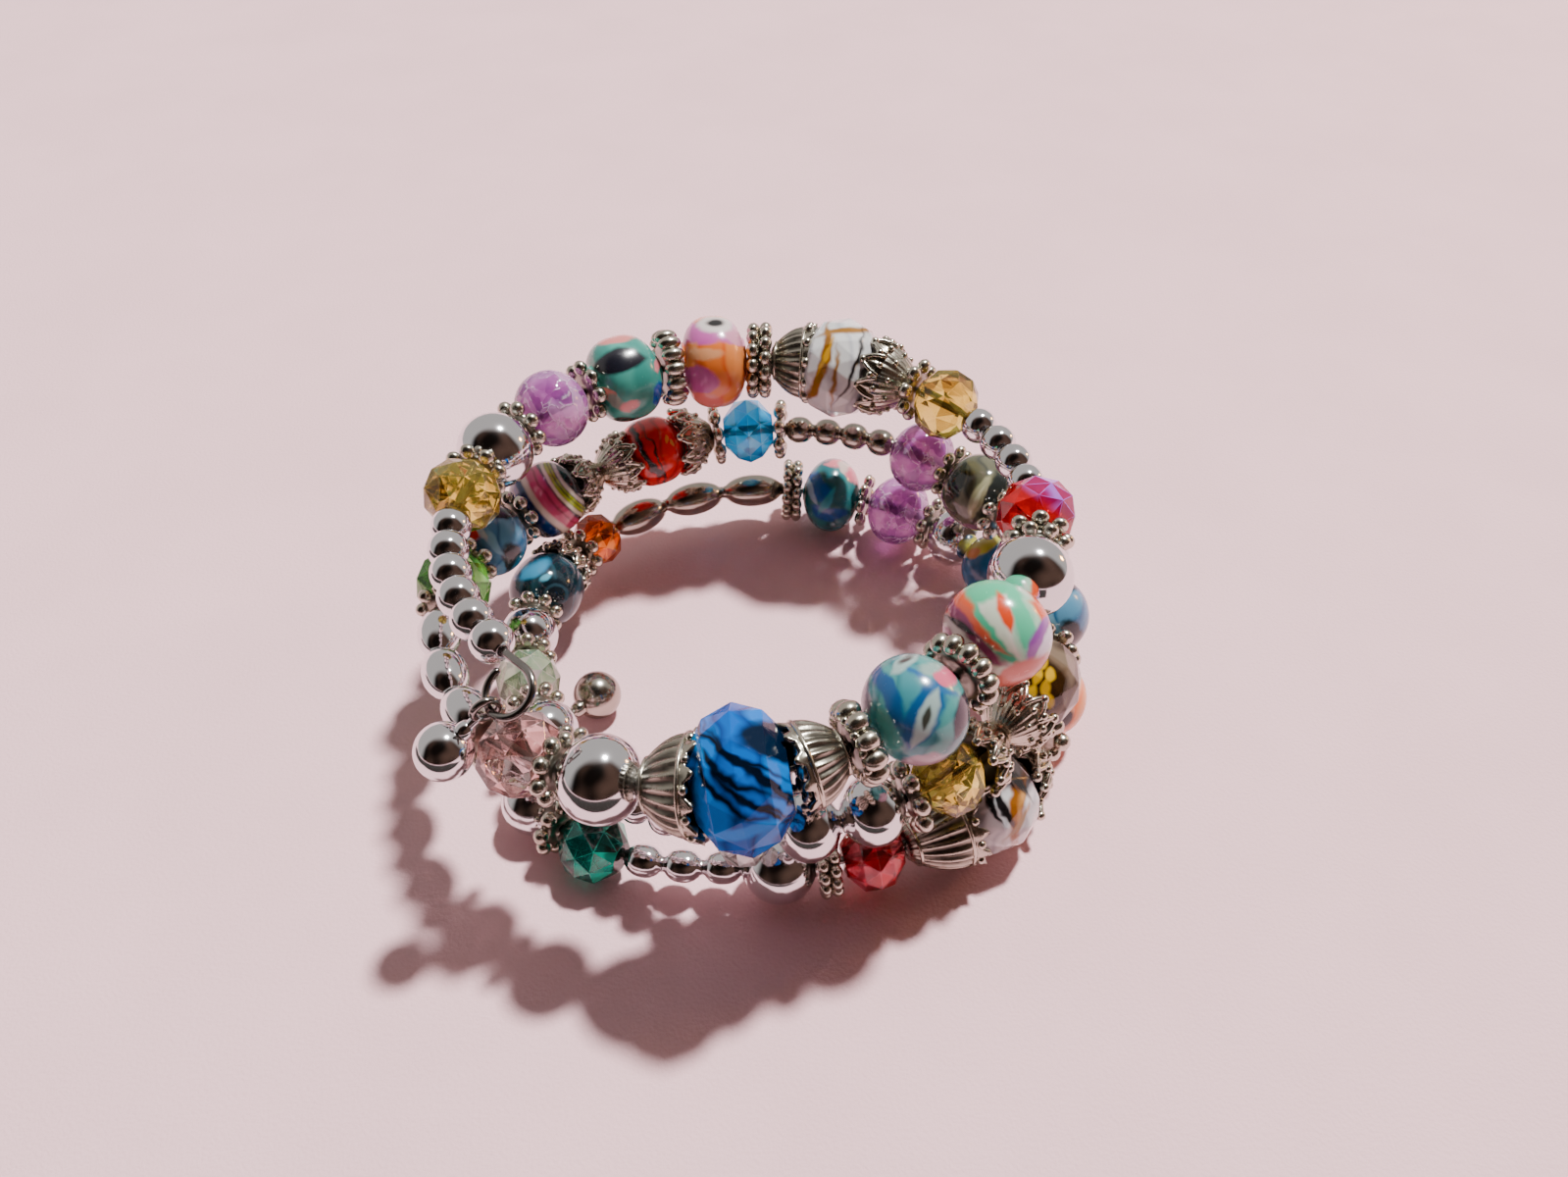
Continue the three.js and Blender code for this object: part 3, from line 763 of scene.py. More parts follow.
# A patch: colour, x, y, half its length and width, and tilt in degrees, and then its wander, bend and point
FINISHES = {
    "silver": (silver,),
    # A darker, rougher copy of the plating: the roughness is a satin finish, the darker tint is painted shade
    "satin silver": (silver, "B4AEA2", 0.13),
    "steel wire": (silver, "989490", 0.1),
    "old silver": (old_silver,),
    "champagne glass": (tinted_glass, "846820", "E8D05C", "FFF47C", 0.9),
    "smoke glass": (tinted_glass, "807C78", "D0D0CC", "FFFFFF"),
    "pink glass": (tinted_glass, "947068", "E8B8B4", "FFF0F0", 0.93),
    "red glass": (tinted_glass, "600410", "C80C24", "E87484"),
    # Its flash is a painted glint on the brightest facets at the upper right
    "red flash glass": (tinted_glass, "900008", "E00818", "D080FF", 0.4, "B01064"),
    "light blue glass": (tinted_glass, "1898E0", "28C0FF", "80E0FF", 0.55),
    "green glass": (tinted_glass, "2C7C20", "70D850", "D0FFB0"),
    "pale green glass": (tinted_glass, "7C9874", "BCD4B0", "F0DCDC"),
    "orange glass": (tinted_glass, "983004", "E86008", "FFA040"),
    "emerald glass": (tinted_glass, "002420", "044C44", "18F8D0"),
    "purple crackle": (crackle_glass, "84408C", "B468B4", "E0A8DC", "FBF4FF"),
    "teal clay 1": (marbled, 4.8, ("58B0A0", "409488"), (
        ("E88C88", -0.2, 0.92, 0.5, 0.13, 8), ("20202A", -0.1, 0.4, 0.64, 0.28, 14, 0.14, -0.15, 0.55),
        ("E88890", 0.76, 0.3, 0.1, 0.16, 0, 0.3), ("2058B0", 0.84, -0.42, 0.16, 0.36, 10, 0.3),
        ("E89088", -0.34, -0.36, 0.2, 0.13, -20, 0.4), ("90988C", -0.14, -0.54, 0.26, 0.13, -34, 0.3),
        ("E88C8C", 0.12, -0.62, 0.2, 0.14, 10, 0.4), (BLACK, 0.1, -1.0, 0.5, 0.1, 0))),
    "orange clay": (marbled, 5.2, ("F88848", "EC6C38", "F89858"), (
        ("F8B080", -0.2, 0.18, 0.4, 0.12, -6, 0.3), ("D468B4", 0.0, 0.66, 1.2, 0.26, 0, 0.3, -0.1),
        ("E8A0BC", 0.5, 0.56, 0.34, 0.16, -20, 0.3),
        ("CC64A8", -0.3, -0.36, 0.42, 0.3, -14, 0.3, 0.0, 0.35), ("F08880", -0.3, -0.86, 0.5, 0.2, 0),
        ("F0E4E0", 0.04, 0.8, 0.4, 0.19, 0), (BLACK, 0.04, 0.83, 0.19, 0.085, 0, 0.05))),
    "peach clay": (marbled, 5.0, ("DCE4D0", "ECEADC", "B8E0C4"), (
        ("58C898", -0.2, 0.8, 0.6, 0.24, 14, 0.3), ("60CCA0", 0.44, 0.26, 0.8, 0.15, 104, 0.25, 0.14, 0.3),
        ("58C498", -0.16, 0.0, 0.9, 0.13, -56, 0.25, 0.16, 0.3),
        ("EC6440", -0.76, 0.5, 0.4, 0.32, -50, 0.3),
        ("E06850", -0.36, 0.16, 0.7, 0.08, -50, 0.25, 0.14, 0.4),
        ("8C3C64", -0.46, 0.0, 0.86, 0.13, -50, 0.25, 0.14, 0.3),
        ("E8D8D8", -0.56, -0.14, 0.8, 0.1, -48, 0.2, 0.12, 0.4),
        ("A45880", -0.62, -0.32, 0.8, 0.12, -46, 0.2, 0.1, 0.4),
        (BLACK, -0.62, 0.14, 0.32, 0.06, -32, 0.14, 0.1, 0.8), ("EC6440", 0.84, 0.46, 0.4, 0.22, -60, 0.3),
        ("9858A8", 0.7, -0.06, 0.55, 0.12, 62, 0.2, -0.2, 0.4),
        ("ECE0F0", 0.86, -0.16, 0.4, 0.1, 66, 0.2, -0.2, 0.3),
        ("E07C70", 0.36, -0.74, 0.7, 0.2, 36, 0.25, -0.2, 0.2),
        ("E85434", 0.14, 0.36, 0.38, 0.12, -72, 0.14, 0.0, 0.6))),
    "teal clay 2": (marbled, 4.9, ("4C949C", "347C84", "58A09C"), (
        ("20588C", -0.44, 0.34, 0.75, 0.16, -62, 0.3, -0.24, 0.3),
        ("20588C", 0.16, -0.06, 0.66, 0.28, 64, 0.3, 0.0, 0.3),
        ("2C689C", 0.26, 0.44, 0.5, 0.07, -30, 0.3, 0.2, 0.4),
        ("A8C0BC", 0.2, -0.14, 0.54, 0.16, 66, 0.2, 0.1, 0.7),
        ("3C4038", 0.2, -0.14, 0.2, 0.07, 70, 0.14, 0.0, 0.6),
        ("A8C0BC", -0.16, 0.8, 0.3, 0.13, 40, 0.2, 0.0, 0.7), ("504444", -0.14, 0.86, 0.13, 0.05, 40),
        ("98B4AC", 0.34, 0.7, 0.26, 0.12, 10, 0.3), ("E06C88", 0.53, 0.56, 0.17, 0.13, -30, 0.3),
        ("241C30", 0.8, -0.08, 0.42, 0.15, 78, 0.14, 0.1, 0.6), ("A090A4", -0.9, 0.2, 0.5, 0.14, 95, 0.3),
        ("B098A4", 0.2, -0.9, 0.55, 0.12, 6, 0.3))),
    "teal clay 3": (marbled, 4.6, ("286C74", "348488"), (
        ("2060A8", -0.36, 0.2, 0.5, 0.26, -60, 0.3, 0.2, 0.2),
        ("A8C8E0", -0.56, 0.1, 0.46, 0.08, -70, 0.2, 0.3, 0.5),
        ("2060A8", -0.1, -0.5, 0.5, 0.2, -10, 0.3, 0.3, 0.2),
        ("48A8B8", -0.1, -0.16, 0.4, 0.1, 60, 0.2, 0.2, 0.4), ("E88490", 0.1, 0.86, 0.24, 0.14, 0, 0.3),
        ("E0C8C0", 0.42, 0.7, 0.3, 0.14, -40, 0.3), ("E07488", 0.6, 0.5, 0.24, 0.14, -55, 0.3),
        ("103438", 0.7, -0.2, 0.2, 0.5, 0))),
    "blue clay": (marbled, 4.1, ("5088B0", "346890", "6098B8"), (
        ("D83424", -0.56, 0.2, 0.36, 0.3, 10, 0.3), ("B8C4CC", -0.26, 0.3, 0.4, 0.09, -60, 0.2, 0.2, 0.5),
        ("1C2428", 0.2, 0.8, 0.6, 0.26, 0, 0.3), ("14282C", 0.6, -0.5, 0.3, 0.4, 20, 0.3),
        ("80B4CC", 0.1, -0.1, 0.4, 0.1, -60, 0.3, 0.2, 0.4))),
    "yellow blue clay": (marbled, 4.0, ("3C7CA8", "245884"), (
        ("D4CC54", -0.35, 0.62, 0.6, 0.22, 28), ("E89858", -0.6, 0.4, 0.2, 0.14, 40),
        ("142430", 0.1, -0.66, 0.6, 0.26, 0), ("20A0D8", 0.5, -0.5, 0.34, 0.2, 20))),
    "blue black clay": (marbled, 4.3, ("3098C8", "1C6C9C"), (
        (BLACK, 0.35, 0.15, 0.3, 0.26, 20), ("60E0A8", 0.5, -0.55, 0.4, 0.2, -30),
        ("F08060", -0.2, -0.6, 0.3, 0.2, 0))),
    "coral clay": (marbled, 4.3, ("FF9C58", "F88048", "FFB48C"), (
        ("58E0A4", 0.4, 0.68, 0.5, 0.24, -20), ("24282C", 0.36, -0.55, 0.34, 0.22, 36),
        (WHITE, 0.0, -0.1, 0.3, 0.1, 30))),
    "foil ribbon glass": (marbled, 5.6, ("F8F8F6", "DADBE0", "FFFFFF"), (
        ("A8ACB4", 0.62, -0.5, 0.5, 0.22, 50, 0.3), ("A06818", -0.34, 0.0, 0.95, 0.12, 72, 0.3, 0.22, 0.3),
        ("E8AC38", -0.28, 0.24, 0.42, 0.055, 64, 0.3, 0.1, 0.7),
        ("A87840", -0.1, -0.2, 0.6, 0.04, 84, 0.3, 0.1, 0.7),
        ("A87430", 0.16, 0.74, 0.62, 0.06, 4, 0.14, -0.2, 0.5),
        (BLACK, -0.78, 0.1, 0.7, 0.05, 72, 0.14, 0.2, 0.7),
        (BLACK, 0.3, 0.0, 0.8, 0.04, 68, 0.3, 0.22, 0.6),
        ("606068", 0.5, 0.1, 0.6, 0.03, 70, 0.3, 0.22, 0.7),
        ("B48448", 0.78, -0.2, 0.5, 0.045, 80, 0.3, 0.2, 0.6)), {"gloss": 0.06, "coat": 0.5, "glass": 0.12}),
    "foil feather glass": (marbled, 5.5, ("F0F0F2", "D0D2D8", "FCFCFC"), (
        ("A8ACB4", 0.4, 0.55, 0.6, 0.34, -30, 0.3), ("A8682C", 0.5, -0.16, 0.8, 0.11, 84, 0.3, -0.2, 0.3),
        ("DCA060", 0.56, -0.06, 0.5, 0.04, 82, 0.3, -0.2, 0.6),
        (BLACK, 0.22, 0.0, 0.42, 0.07, -70, 0.4, 0.0, 0.9),
        (BLACK, 0.32, -0.2, 0.34, 0.06, -70, 0.4, 0.0, 0.9),
        (BLACK, 0.1, -0.1, 0.4, 0.06, -66, 0.4, 0.0, 0.9),
        ("28282C", 0.12, 0.62, 0.4, 0.045, -60, 0.14, 0.1, 0.9),
        ("28282C", 0.28, 0.54, 0.45, 0.05, -60, 0.14, 0.1, 0.9),
        ("28282C", 0.44, 0.44, 0.45, 0.045, -60, 0.14, 0.1, 0.9),
        ("3C3C40", 0.58, 0.3, 0.4, 0.04, -60, 0.14, 0.1, 0.9),
        ("B89468", 0.56, -0.4, 0.4, 0.05, 60, 0.3, 0.2, 0.6)), {"gloss": 0.06, "coat": 0.5, "glass": 0.15}),
    "striped glass": (marbled, 4.3, ("3C4048", "24282C"), (
        ("1C3470", -0.4, -0.24, 2.0, 0.15, 127, 0.1, -0.12),
        ("E8D8C8", -0.14, -0.1, 2.0, 0.16, 127, 0.06, -0.14),
        ("C84870", 0.02, 0.02, 2.0, 0.21, 127, 0.06, -0.16),
        ("983050", 0.06, 0.04, 2.0, 0.03, 127, 0.15, -0.16),
        ("F0E4C8", 0.26, 0.2, 2.0, 0.05, 127, 0.06, -0.2),
        ("A8B838", 0.36, 0.28, 2.0, 0.09, 127, 0.06, -0.22),
        ("586820", 0.37, 0.29, 2.0, 0.02, 127, 0.06, -0.22),
        ("E8E0D0", 0.48, 0.38, 2.0, 0.05, 127, 0.06, -0.24)), LAMPWORK),
    "red line glass": (marbled, 4.1, ("E81810", "B81010", "F02814"), (
        ("7C0808", -0.5, 0.2, 0.9, 0.2, -60, 0.3, 0.1, 0.3),
        ("E82010", -0.56, 0.16, 0.9, 0.13, -60, 0.3, 0.1, 0.3),
        (BLACK, -0.2, -0.05, 1.2, 0.075, -60, 0.5, 0.12, 0.3),
        # The two small orange-gold dots at the upper right are painted glints
        ("200404", 0.12, -0.1, 0.9, 0.03, -70, 0.4, -0.1, 0.5), ("F8A050", 0.4, 0.35, 0.05, 0.12, 0),
        ("F8B060", 0.54, 0.25, 0.04, 0.1, 20)), LAMPWORK),
    "blue line glass": (marbled, 6.4, ("0464C0", "04448C", "087CD8"), (
        ("021830", 0.42, 0.5, 0.5, 0.24, -8, 0.3, -0.2, 0.3),
        *(("041020", *place, 0.35, bend, 0.4) for *place, bend in (
            (-0.16, 0.3, 0.8, 0.045, -34, 0.3), (-0.26, 0.1, 0.8, 0.05, -38, 0.3),
            (0.1, 0.08, 0.9, 0.05, -36, 0.25), (0.24, -0.06, 0.8, 0.045, -34, 0.3),
            (-0.3, -0.16, 0.7, 0.05, -46, 0.3), (0.06, -0.24, 0.7, 0.045, -32, 0.35),
            (0.3, -0.42, 0.5, 0.04, -26, 0.4))),
        ("30A0F8", -0.62, 0.55, 0.3, 0.06, -70, 0.14, 0.2, 0.4),
        ("2090F0", 0.0, -0.66, 0.5, 0.08, 10, 0.14, 0.2, 0.4)
    ), {"gloss": 0.1, "coat": 0.0, "grain": 0.03, "ior": 1.3}),
    "olive glass": (marbled, 4.2, ("5C5C48", "40443C", "686854"), (
        ("2C3230", 0.4, 0.0, 0.8, 0.2, 68, 0.3, 0.1, 0.3), ("8490A4", 0.84, 0.4, 0.6, 0.18, 110, 0.3),
        ("28302C", -0.6, 0.3, 0.6, 0.2, 70, 0.3, 0.0, 0.3),
        ("A8A884", -0.04, -0.1, 0.62, 0.16, 66, 0.2, -0.2, 0.3),
        ("D0D0AC", -0.08, -0.2, 0.4, 0.06, 66, 0.2, -0.2, 0.7), ("8C6478", -0.3, -0.92, 0.6, 0.08, -10)
    ), LAMPWORK),
    "brown petal glass": (marbled, 4.6, ("6C5848", "4C3828", "84705C"), (
        ("34200C", 0.0, -0.05, 0.62, 0.68, 70, 0.2),
        *(("ECBC10", x + 0.2, y - 0.05, 0.17, 0.1, tilt, 0.12, 0.0, 0.5) for x, y, tilt in (
            (-0.42, -0.34, 50), (-0.14, -0.42, 70), (0.1, -0.34, 95), (-0.5, -0.08, 40), (-0.24, -0.14, 62),
            (0.04, -0.08, 80), (-0.4, 0.16, 50), (-0.12, 0.16, 72), (0.14, 0.2, 90), (-0.26, 0.42, 62),
            (0.0, 0.46, 80)))
    ), {"gloss": 0.05, "coat": 0.3, "glass": 0.15}),
    "dark teal glass": (marbled, 4.1, ("1C343C", "284854", "142830"), (
        ("4890B4", -0.5, 0.6, 0.6, 0.3, 20), ("101C24", 0.24, -0.12, 0.46, 0.4, 0),
        ("34505C", 0.24, -0.12, 0.32, 0.27, 0), ("101C24", 0.24, -0.12, 0.26, 0.22, 0),
        ("6CB8D0", -0.04, 0.34, 0.16, 0.08, 30)), LAMPWORK),
}


def material(name):
    """The finish of that name, made the first time that it is asked for."""
    found = bpy.data.materials.get(name)
    if found:
        return found
    build, *values = FINISHES[name]
    options = values.pop() if values and isinstance(values[-1], dict) else {}
    return surface(name, build, bpy.context.scene.bracelet_finish, *values, **options)


# ---------------------------------------------------------------- the string

# The rows from the top end of the wire on: node, slot and kind, and the beads, spacers and caps in order
STRING = (
    ("silver_rounds_1", "silver", "silver", round_bead(3.75, 3.9, "silver", 6)),
    ("champagne_crystal_1", "champagne_crystal", "crystal", crystal(6.0, 8.0, "champagne glass")),
    ("silver_ball_1", "silver", "silver", daisy(1.2, 6.8) + ball(7.5, 8.0, "silver") + daisy(1.4, 6.8)),
    ("purple_crackle_bead_1", "purple_crackle_glass", "glass", ball(7.7, 8.4, "purple crackle")),
    ("daisy_spacer_1", "old_silver", "spacer", daisy(1.3, 7.2)),
    ("teal_clay_bead_1", "teal_clay", "clay", barrel(7.7, 9.6, "teal clay 1")),
    ("beaded_ring_1", "old_silver", "spacer", knob_ring(2.7, 8.8, knobs=14)),
    ("orange_clay_barrel", "orange_clay", "clay", barrel(7.1, 10.4, "orange clay")),
    ("ring_and_bead_cap", "old_silver", "cap", rondelle(2.8, 8.7) + cap(3.6, 8.4, grains=0.6)),
    ("foil_glass_bead_1", "foil_glass", "glass", cut_round(8.3, 11.4, "foil ribbon glass", edge=0.1)),
    ("petal_cap_and_daisy_1", "old_silver", "cap",
     lace_cap(4.4, 9.2, way=-1, petals=9, reach=0.9) + daisy(1.3, 7.2)),
    ("champagne_crystal_2", "champagne_crystal", "crystal", crystal(6.3, 8.0, "champagne glass")),
    ("silver_rounds_2", "silver", "silver", round_bead(3.6, 3.8, "silver", 4)),
    ("red_flash_crystal", "red_glass", "crystal", crystal(6.0, 8.0, "red flash glass")),
    ("silver_ball_2", "silver", "silver", daisy(1.2, 7.0) + daisy(1.2, 6.6) + ball(7.3, 8.1, "silver")),
    ("peach_clay_bead", "peach_clay", "clay", ball(8.7, 10.0, "peach clay")),
    ("beaded_ring_2", "old_silver", "spacer", knob_ring(2.2, 8.0, knobs=12)),
    ("teal_clay_bead_2", "teal_clay", "clay", ball(8.7, 9.8, "teal clay 2")),
    ("ring_bell_cap_and_daisy", "old_silver", "cap",
     knob_ring(2.4, 8.0, knobs=11, grit=0.42) + cap(3.6, 8.0) + daisy(1.1, 7.2)),
    ("blue_glass_bead", "blue_glass", "glass", cut_round(8.2, 13.0, "blue line glass")),
    ("cone_cap_and_silver_ball_3", "silver", "cap",
     cap(4.2, 9.2, way=-1, grains=0.45) + ball(7.5, 7.9, "silver") + daisy(1.4, 6.8)),
    ("pink_crystal", "pink_crystal", "crystal", crystal(6.4, 8.2, "pink glass")),
    ("silver_ovals_1", "silver", "silver", daisy(1.4, 6.6) + oval_bead(6.7, 4.4, "silver", 3)),
    ("green_crystal_and_daisies", "green_crystal", "crystal",
     daisy(1.4, 6.0) + crystal(6.3, 8.0, "green glass") + daisy(1.4, 6.8)),
    ("blue_clay_bead_1", "blue_clay", "clay", ball(7.6, 8.2, "blue clay")),
    ("daisy_spacer_2", "old_silver", "spacer", daisy(1.3, 6.8)),
    ("striped_bead", "striped_glass", "glass", barrel(7.4, 8.6, "striped glass")),
    ("petal_caps", "old_silver", "cap",
     lace_cap(3.5, 7.6, way=-1, petals=9, reach=0.8) + lace_cap(3.4, 7.6, petals=9, reach=0.8)),
    ("red_glass_bead", "red_glass", "glass", barrel(7.2, 8.2, "red line glass")),
    ("scalloped_cap_and_daisy", "old_silver", "cap",
     lace_cap(3.6, 8.4, way=-1, petals=9, reach=0.8) + daisy(1.2, 7.4)),
    ("light_blue_crystal", "light_blue_crystal", "crystal", crystal(5.9, 7.8, "light blue glass")),
    ("silver_rounds_3", "silver", "silver", daisy(1.3, 7.2) + round_bead(3.4, 3.2, "satin silver", 4)),
    ("purple_crackle_bead_2", "purple_crackle_glass", "glass", ball(7.2, 8.2, "purple crackle")),
    ("daisy_spacer_3", "old_silver", "spacer", daisy(1.1, 6.8)),
    ("olive_glass_bead", "olive_glass", "glass", barrel(7.5, 8.4, "olive glass")),
    ("silver_ball_4_and_clay_bead", "silver", "silver",
     daisy(1.1, 6.8) + round_bead(3.3, 3.8, "silver") + ball(7.2, 7.8, "silver") + daisy(1.1, 6.8) +
     ball(7.8, 8.6, "blue clay") + daisy(1.2, 6.8)),
    ("brown_glass_bead", "brown_glass", "glass", cut_round(8.2, 9.2, "brown petal glass", edge=0.08)),
    ("flower_caps", "old_silver", "cap", lace_cap(3.4, 8.0, way=-1) + lace_cap(3.4, 8.0)),
    ("champagne_crystal_3", "champagne_crystal", "crystal", crystal(6.0, 8.0, "champagne glass")),
    ("silver_balls_5", "silver", "silver", daisy(1.5, 7.4) + ball(5.9, 6.6, "silver", 2)),
    ("smoke_crystals_and_rounds", "silver", "crystal",
     crystal(5.1, 7.0, "smoke glass") + round_bead(3.3, 3.6, "silver", 4) +
     crystal(5.0, 7.0, "smoke glass")),
    ("silver_balls_6_and_crystal", "silver", "silver",
     daisy(1.2, 6.4) + ball(6.1, 6.4, "silver") + daisy(1.8, 6.4) + crystal(6.6, 6.8, "pale green glass") +
     daisy(1.4, 6.4) + ball(5.9, 6.2, "silver") + daisy(1.2, 6.4)),
    ("dark_teal_glass_bead", "dark_teal_glass", "glass", barrel(7.4, 8.2, "dark teal glass")),
    ("petal_cap_and_daisy_2", "old_silver", "cap", lace_cap(3.2, 7.6, way=-1, petals=10) + daisy(1.2, 6.6)),
    ("orange_crystal", "orange_crystal", "crystal", crystal(4.8, 6.4, "orange glass")),
    ("silver_ovals_2", "silver", "silver", oval_bead(7.5, 4.0, "satin silver", 3) + rondelle(2.4, 7.8)),
    ("teal_clay_bead_3", "teal_clay", "clay", ball(7.0, 9.2, "teal clay 3")),
    ("daisy_spacer_4", "old_silver", "spacer", daisy(1.0, 6.8)),
    ("purple_crackle_bead_3", "purple_crackle_glass", "glass", ball(7.3, 8.6, "purple crackle")),
    ("silver_ball_7_and_clay_bead", "silver", "silver",
     daisy(1.2, 6.8) + ball(6.5, 7.2, "silver") + ball(7.4, 8.0, "yellow blue clay") + daisy(0.8, 6.8) +
     round_bead(3.0, 3.8, "silver")),
    ("clay_beads_and_long_cap", "blue_clay", "clay",
     ball(7.9, 8.6, "blue black clay") + daisy(1.9, 7.6) + ball(8.5, 8.6, "coral clay") + daisy(2.4, 7.6) +
     lace_cap(4.5, 8.4, pins=2.2)),
    ("foil_glass_bead_2", "foil_glass", "glass", cut_round(8.3, 11.0, "foil feather glass", edge=0.1)),
    ("cone_cap_2", "old_silver", "cap", cap(5.4, 8.8, way=-1, grains=0.45)),
    ("red_crystal", "red_glass", "crystal", crystal(5.7, 7.2, "red glass")),
    ("silver_ball_8_and_rounds", "silver", "silver",
     rondelle(2.2, 6.8) + ball(7.0, 7.1, "silver") + round_bead(3.8, 3.2, "silver", 3)),
    ("emerald_crystal", "emerald_crystal", "crystal", crystal(6.3, 7.2, "emerald glass")),
    ("silver_ball_9", "silver", "silver", daisy(1.7, 6.4) + ball(6.4, 6.5, "silver")),
)
SEATED = {"foil_glass_bead_2": 5.5, "emerald_crystal": 3.6, "teal_clay_bead_3": 4.6}  # heights on the table
METALS = ("silver", "satin silver", OLD)
SPIN_STEP = 0.37  # so that spacers and caps don't all stand alike on the wire
SPINS = 11
DAISY_LEAN = math.radians(3.0)
DAISY_SWAY = 2.4


def row_starts():
    """Where each row of the string begins along the wire, and where the last one ends."""
    starts, along = {}, FIRST_BEAD_AT
    for node, _, _, beads in STRING:
        starts[node] = along
        along += sum(length for _, length, *_ in beads) + GAP
    return starts, along


STARTS, STRING_END = row_starts()


def make_row(node, slot, beads):
    """One row of the string as one object. Patterns are laid out about its most special bead."""
    main = max(range(len(beads)), key=lambda n: (beads[n][3] not in METALS, beads[n][1]))
    places, along = [], STARTS[node]
    for n, (shape, length, _, finish, _) in enumerate(beads):
        middle = along + length / 2
        along += length
        spin = SPIN_STEP * ((10 * n + len(node)) % SPINS) if finish == OLD else 0.0
        lean = DAISY_LEAN * math.sin(DAISY_SWAY * middle) if shape is daisy else 0.0
        places.append(COIL.place(middle, SEATED.get(node), spin, lean))
    base = places[main].translation
    piece = Piece()
    for (shape, length, diameter, finish, options), place in zip(beads, places):
        piece.move = Matrix.Translation(-base) @ place
        piece.facing = COIL.facing(place.translation)
        shape.make(piece, length, diameter, finish, **options)
    piece.finish(node.replace("_", "-"), base, slot, [node])


# ---------------------------------------------------------------- the wire and its ends

END_LOOP_RADIUS = 2.3
END_LOOP_SWEEP = math.radians(285)
END_LOOP_STEPS = 44
WIRE_STEPS = 480
TOP_LOOP = {"at": FIRST_BEAD_AT - GAP, "forward": -1, "tail": 2.6, "dip": math.radians(33), "side": 1}
BOTTOM_LOOP = {"at": STRING_END, "forward": 1, "tail": 3.6, "dip": 0.0, "side": -1}

BALL_RADIUS = 2.6
TOP_BALL = Vector((-26.3, -26.9, 21.6))
BOTTOM_BALL = Vector((-17.7, -3.4, BALL_RADIUS))
EYE_RADIUS = 1.15
EYE_WIRE_RADIUS = 0.35
EYE_PLAY = 0.15
THICKEST_WIRE_RADIUS = 0.4
EYE_DROP = EYE_RADIUS - EYE_WIRE_RADIUS - THICKEST_WIRE_RADIUS - EYE_PLAY
STEM_RADIUS = 0.455
STEM_SINKS = 0.2  # into the ball
COLLAR_RADIUS = 0.85
COLLAR_SPAN = (0.55, 0.1)  # above the stem's end


def end_loop(at, forward, tail, dip, side):
    """The curl at an end of the wire: its middle, its plane's normal, and its points from the string on."""
    point = COIL.at(at)
    ahead = COIL.at(at + forward) - point
    ahead = Vector((ahead.x, ahead.y, 0.0)).normalized()
    across = COIL.outward(at) * side * math.cos(dip)
    across.z = -math.sin(dip)
    across = (across - across.dot(ahead) * ahead).normalized()
    centre = point + ahead * tail + across * END_LOOP_RADIUS
    points = []
    for k in range(END_LOOP_STEPS + 1):
        angle = END_LOOP_SWEEP * k / END_LOOP_STEPS
        points.append(centre + (ahead * math.sin(angle) - across * math.cos(angle)) * END_LOOP_RADIUS)
    return centre, ahead.cross(across), points


def wire(settings):
    """The whole wire: an end loop, the coil through the beads, and the other end loop."""
    first, last = TOP_LOOP["at"], BOTTOM_LOOP["at"]
    _, _, top = end_loop(**TOP_LOOP)
    _, _, bottom = end_loop(**BOTTOM_LOOP)
    coil = [COIL.at(first + (last - first) * k / WIRE_STEPS) for k in range(WIRE_STEPS + 1)]
    piece = Piece()
    piece.tube(top[::-1] + coil + bottom, settings.wire_diameter / MM / 2, "steel wire", 12)
    piece.finish("wire", Vector(), "silver", ["memory_wire"])


def dangle(name, node, loop, ball_centre, finish):
    """A ball on a stem, with an eye round the end loop."""
    centre, normal, _ = end_loop(**loop)
    ball_centre = ball_centre + COIL_AXIS
    way = ball_centre - centre
    way = (way - way.dot(normal) * normal).normalized()
    on_wire = centre + way * END_LOOP_RADIUS
    down = (ball_centre - on_wire).normalized()
    eye = on_wire + down * EYE_DROP
    across = normal.cross(way).normalized().cross(down).normalized()
    piece = Piece()
    ring = [eye + (down * math.cos(a) + across * math.sin(a)) * EYE_RADIUS for a in circle(40)]
    piece.tube(ring, EYE_WIRE_RADIUS, "steel wire", closed=True)
    stem = eye + down * (EYE_RADIUS + 0.1)
    seat = ball_centre - down * (BALL_RADIUS - STEM_SINKS)
    piece.tube([stem, stem.lerp(seat, 0.5), seat], STEM_RADIUS, finish, 16)
    piece.tube([seat - down * above for above in COLLAR_SPAN], COLLAR_RADIUS, finish, 24)
    side = down.orthogonal().normalized()
    stand = Matrix((down, side, down.cross(side))).transposed().to_4x4()
    piece.move = Matrix.Translation(ball_centre) @ stand
    levels = [math.radians(degrees) for degrees in range(-86, 87, 6)]
    piece.turn([(BALL_RADIUS * math.sin(a), BALL_RADIUS * math.cos(a)) for a in levels], finish, 48)
    piece.finish(name, Vector(), "silver", [node])


# ---------------------------------------------------------------- the stage

